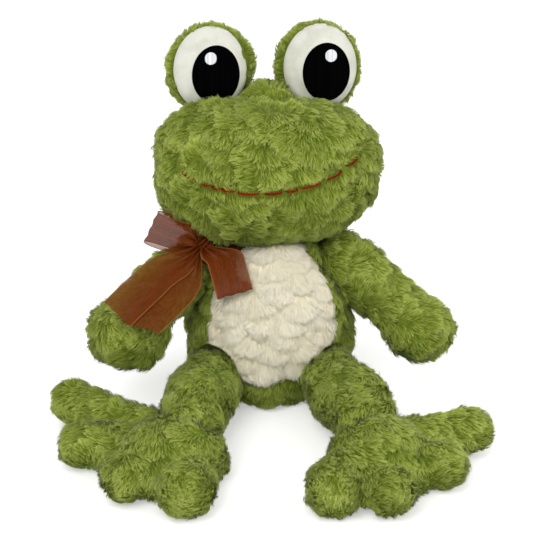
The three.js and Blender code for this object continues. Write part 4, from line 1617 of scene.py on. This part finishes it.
@dataclass
class Studio:
    """A plain pale floor, soft light and the photograph's view."""

    target: Triple = (-1.4 * MM, 0.0, 88.7 * MM)
    distance: float = 1.2
    elevation_deg: float = 22.0
    lens: float = 119.0
    floor_half: float = 6.0

    def build(self) -> None:
        """Sets up the view, the light, the world and the floor."""
        self.view()
        self.lights()
        self.world()
        self.floor()
        bpy.context.scene.view_settings.view_transform = "Standard"

    def view(self) -> None:
        """Places the camera."""
        data = bpy.data.cameras.new("camera")
        data.lens = self.lens
        data.clip_end = 20
        camera = linked("camera", data)
        up = math.radians(self.elevation_deg)
        target = Vector(self.target)
        camera.location = target + self.distance * Vector((0, -math.cos(up), math.sin(up)))
        camera.rotation_euler = (target - camera.location).to_track_quat("-Z", "Y").to_euler()
        bpy.context.scene.camera = camera

    def lights(self) -> None:
        """Hangs a large lamp in front and above, and weaker ones at the viewer's right and behind."""
        for name, place, size, power in (
            ("key", (-0.5, -1.3, 1.5), 1.2, 19.0),
            ("fill", (1.3, -0.9, 0.8), 1.4, 7.0),
            ("back", (0.2, 1.3, 1.3), 1.4, 7.0),
        ):
            data = bpy.data.lights.new(name, "AREA")
            data.size = size
            data.energy = power
            lamp = linked(name, data)
            lamp.location = place
            aim = Vector(self.target) - lamp.location
            lamp.rotation_euler = aim.to_track_quat("-Z", "Y").to_euler()

    def world(self) -> None:
        """Makes the world a plain pale room, a little dimmer as light than as it is seen."""
        graph = Graph(bpy.data.worlds.new("room"))
        lit = graph.node("ShaderNodeBackground", {"Strength": 0.8})
        shown = graph.node("ShaderNodeBackground")
        both = {"Fac": graph.seen_directly(), 1: lit.outputs[0], 2: shown.outputs[0]}
        mix = graph.node("ShaderNodeMixShader", both)
        bpy.context.scene.world = graph.finish(mix, "ShaderNodeOutputWorld")

    def floor(self) -> None:
        """Lays a white floor that shows as white but keeps the frog's shadow."""
        shape = bmesh.new()
        bmesh.ops.create_grid(shape, x_segments=1, y_segments=1, size=self.floor_half)
        made = as_object(shape, "floor")
        graph = Graph.of_slot("white_floor")
        matt = graph.node("ShaderNodeBsdfDiffuse", {"Color": linear((238, 238, 238))})
        glow = graph.node("ShaderNodeEmission", {"Strength": 0.4})
        shown = graph.node("ShaderNodeAddShader", {0: matt.outputs[0], 1: glow.outputs[0]})
        both = {"Fac": graph.seen_directly(), 1: matt.outputs[0], 2: shown.outputs[0]}
        made.data.materials.append(graph.finish(graph.node("ShaderNodeMixShader", both)))


# ---------------------------------------------------------------- the frog


GREEN_PILE = Pile(
    length=9.5 * MM, swirl=12.5 * MM, stretch=1.2, curved_per_square_mm=0.36, straight_per_square_mm=0.95
)
HEAD_PILE = Pile(
    length=9 * MM,
    swirl=11.5 * MM,
    stretch=1.25,
    stray_deg=52,
    overhang=3 * MM,
    spread=0.24,
    curl_deg=30,
    relief=3.3 * MM,
)
LIMB_PILE = Pile(length=9 * MM, swirl=12 * MM, spread=0.28)
FOOT_PILE = Pile(
    length=8.5 * MM,
    thickness=0.3 * MM,
    swirl=11 * MM,
    stray_deg=30,
    relief=2.6 * MM,
    spread=0.28,
    curl_deg=16,
    ragged=0.14,
    lift_deg=14,
    lift_gain_deg=8,
    softness=0.82,
)
EYE_PILE = Pile(
    length=7 * MM, swirl=8 * MM, relief=1.6 * MM, inset=1 * MM, overhang=3 * MM, lift_deg=26
)
BELLY_PILE = Pile(
    length=8 * MM,
    thickness=0.27 * MM,
    curved_per_square_mm=0.9,
    straight_per_square_mm=2.3,
    ragged=0.08,
    swirl=12 * MM,
    stretch=1.5,
    overhang=2.2 * MM,
    stray_deg=22,
    spread=0.3,
    curl_deg=8,
    lift_deg=8,
    lift_gain_deg=6,
    bend_deg=12,
    relief=2.8 * MM,
    lock=2.2 * MM,
    lock_pull=0.15,
    inset=0.4 * MM,
    softness=0.9,
)
SIDES = (("left", 1), ("right", -1))  # the frog's own, each with its sign along X
BUMPS = {
    "head": (
        Bump((-64, 37, 181), (-4.5, 1, 4), 22),  # upper cheeks
        Bump((68, 40, 172), (1.5, 0.5, 1), 22),
        Bump((60, 27, 115), (-2, 0.5, 1.5), 20),
        Bump((2, -2, 101), (0, -1.5, -1.5), 28),  # chin
        Bump((-34, 4, 104), (0, -1, -3), 13),
        Bump((-40, 34, 190), (0, -1, 4), 17),  # brows, against the feet of the eyes' panels
        Bump((40, 38, 190), (0, -1, 2.5), 17),
        Bump((-2, 58, 199), (0, 0, 3.5), 20),
    ),
    "eye_right": (Bump((-69, 64, 205), (-2, 0, 0), 20), Bump((-15, 69, 217), (3, 0, 1), 20)),
    "eye_left": (Bump((6, 70, 218), (-2.5, 0, 0), 20),),
    "arm_right": (
        Bump((-78, -6, 86), (-2, 0.5, 4), 26),
        Bump((-74, -41, 45), (2, -1, -3.5), 18),
        Bump((-64, -23, 57), (-5, 0.5, 1.5), 14),
    ),
    "arm_left": (
        Bump((42, 20, 103), (-1, -1, 4), 14),  # where the shoulder meets the chin
        Bump((66, 16, 97), (1.5, 0, 3), 18),
        Bump((110, 0, 68), (-1.5, -0.5, -1.5), 18),
        Bump((67, -9, 53), (5, 0, 1), 16),
    ),
    "torso": (Bump((33, 20, 99), (1, -1, 3.5), 11), Bump((0, -28, 0), (0, -10, 0), 19)),
    "belly_panel": (
        Bump((4, -2, 107), (0, -1, 3.5), 24),
        Bump((39, -24, 72), (4, 1, 0), 24),
        Bump((31, -36, 38), (4, 0, -1), 14),
        Bump((-12, -42, 27), (-2, -1, -3), 13),
    ),
    "leg_right": (
        Bump((-43, -38, 47), (0, -1, -6), 24),  # thighs, seen to slope away from the seat
        Bump((-61, -26, 38), (5, -1, -3), 22),
        Bump((-30, -98, 17), (-4, 1, 1), 20),
    ),
    "leg_left": (
        Bump((43, -38, 47), (0, -1, -5), 24),
        Bump((57, -25, 39), (-4, 0, -1.5), 18),
        Bump((74, -90, 33), (4, 0, 4), 20),
        Bump((39, -104, 17), (4.5, 1, 1.5), 20),
    ),
    "foot_right": (
        Bump((-131, -52, 26), (-2.5, 1, 4), 18),  # outer toe
        Bump((-130, -123, 8), (-0.5, 1, 0), 20),
        Bump((-100, -160, 6), (2, 5, 0), 20),
        Bump((-36, -138, 10), (6.5, 0, 0), 20),
    ),
    "foot_left": (
        Bump((128, -91, 28), (1.5, 0.5, 2.5), 18),  # outer toe
        Bump((121, -147, 8), (-1.5, 4, 0), 20),
        Bump((82, -180, 6), (0, 3, 0), 18),
        Bump((21, -176, 15), (2.5, 0, 0), 18),
    ),
}


@dataclass
class Frog:
    """The whole frog, piece by piece."""

    mouth: np.ndarray = field(default_factory=mouth_line)

    def stuffed(self) -> list[StuffedPiece]:
        """Lists the stuffed pieces with the pile of each."""
        pieces = [
            StuffedPiece("torso", "torso", GREEN_PILE, Combing(way=(0, -0.2, -1)), seed=11, sockets=True),
            StuffedPiece(
                "belly_panel",
                "torso",
                BELLY_PILE,
                Combing(way=(0, 0, -1)),
                Finish.CREAM,
                seed=12,
                voxel=1.6 * MM,
            ),
            StuffedPiece(
                "head",
                "head",
                HEAD_PILE,
                Combing(way=(0, 0, -1), middle=(2, -20, 160), outwards=0.3),
                seed=13,
                sockets=True,
                mouth=self.mouth,
            ),
        ]
        for side, sign in SIDES:
            pieces += [
                StuffedPiece(
                    f"eye_{side}",
                    "head",
                    EYE_PILE,
                    Combing(middle=(sign * 35, -30, 212), outwards=1),
                    seed=20 + sign,
                ),
                StuffedPiece(
                    f"arm_{side}",
                    f"arm_{side}",
                    LIMB_PILE,
                    Combing(way=(sign * 0.8, -0.4, -0.5), middle=(sign * 60, 0, 80), outwards=0.4),
                    seed=30 + sign,
                ),
                StuffedPiece(
                    f"leg_{side}",
                    f"leg_{side}",
                    LIMB_PILE,
                    Combing(way=(sign * 0.25, -1, -0.1)),
                    seed=40 + sign,
                ),
                StuffedPiece(
                    f"foot_{side}",
                    f"foot_{side}",
                    FOOT_PILE,
                    Combing(way=(sign * 0.2, -0.3, 0), middle=(sign * 52, -95, 0), outwards=1),
                    seed=50 + sign,
                ),
            ]
        return pieces

    def build(self) -> None:
        """Builds every piece in order."""
        for piece in self.stuffed():
            piece.bumps = BUMPS.get(piece.node, ())
            piece.build()
        Mouth(self.mouth).build()
        for side, sign in SIDES:
            Eye(side, sign).build()
        Bow().build()


def main() -> None:
    """Builds the frog and its studio."""
    logging.basicConfig(level=logging.INFO, format="%(name)s: %(message)s")
    Frog().build()
    Studio().build()


if __name__ == "__main__":
    main()
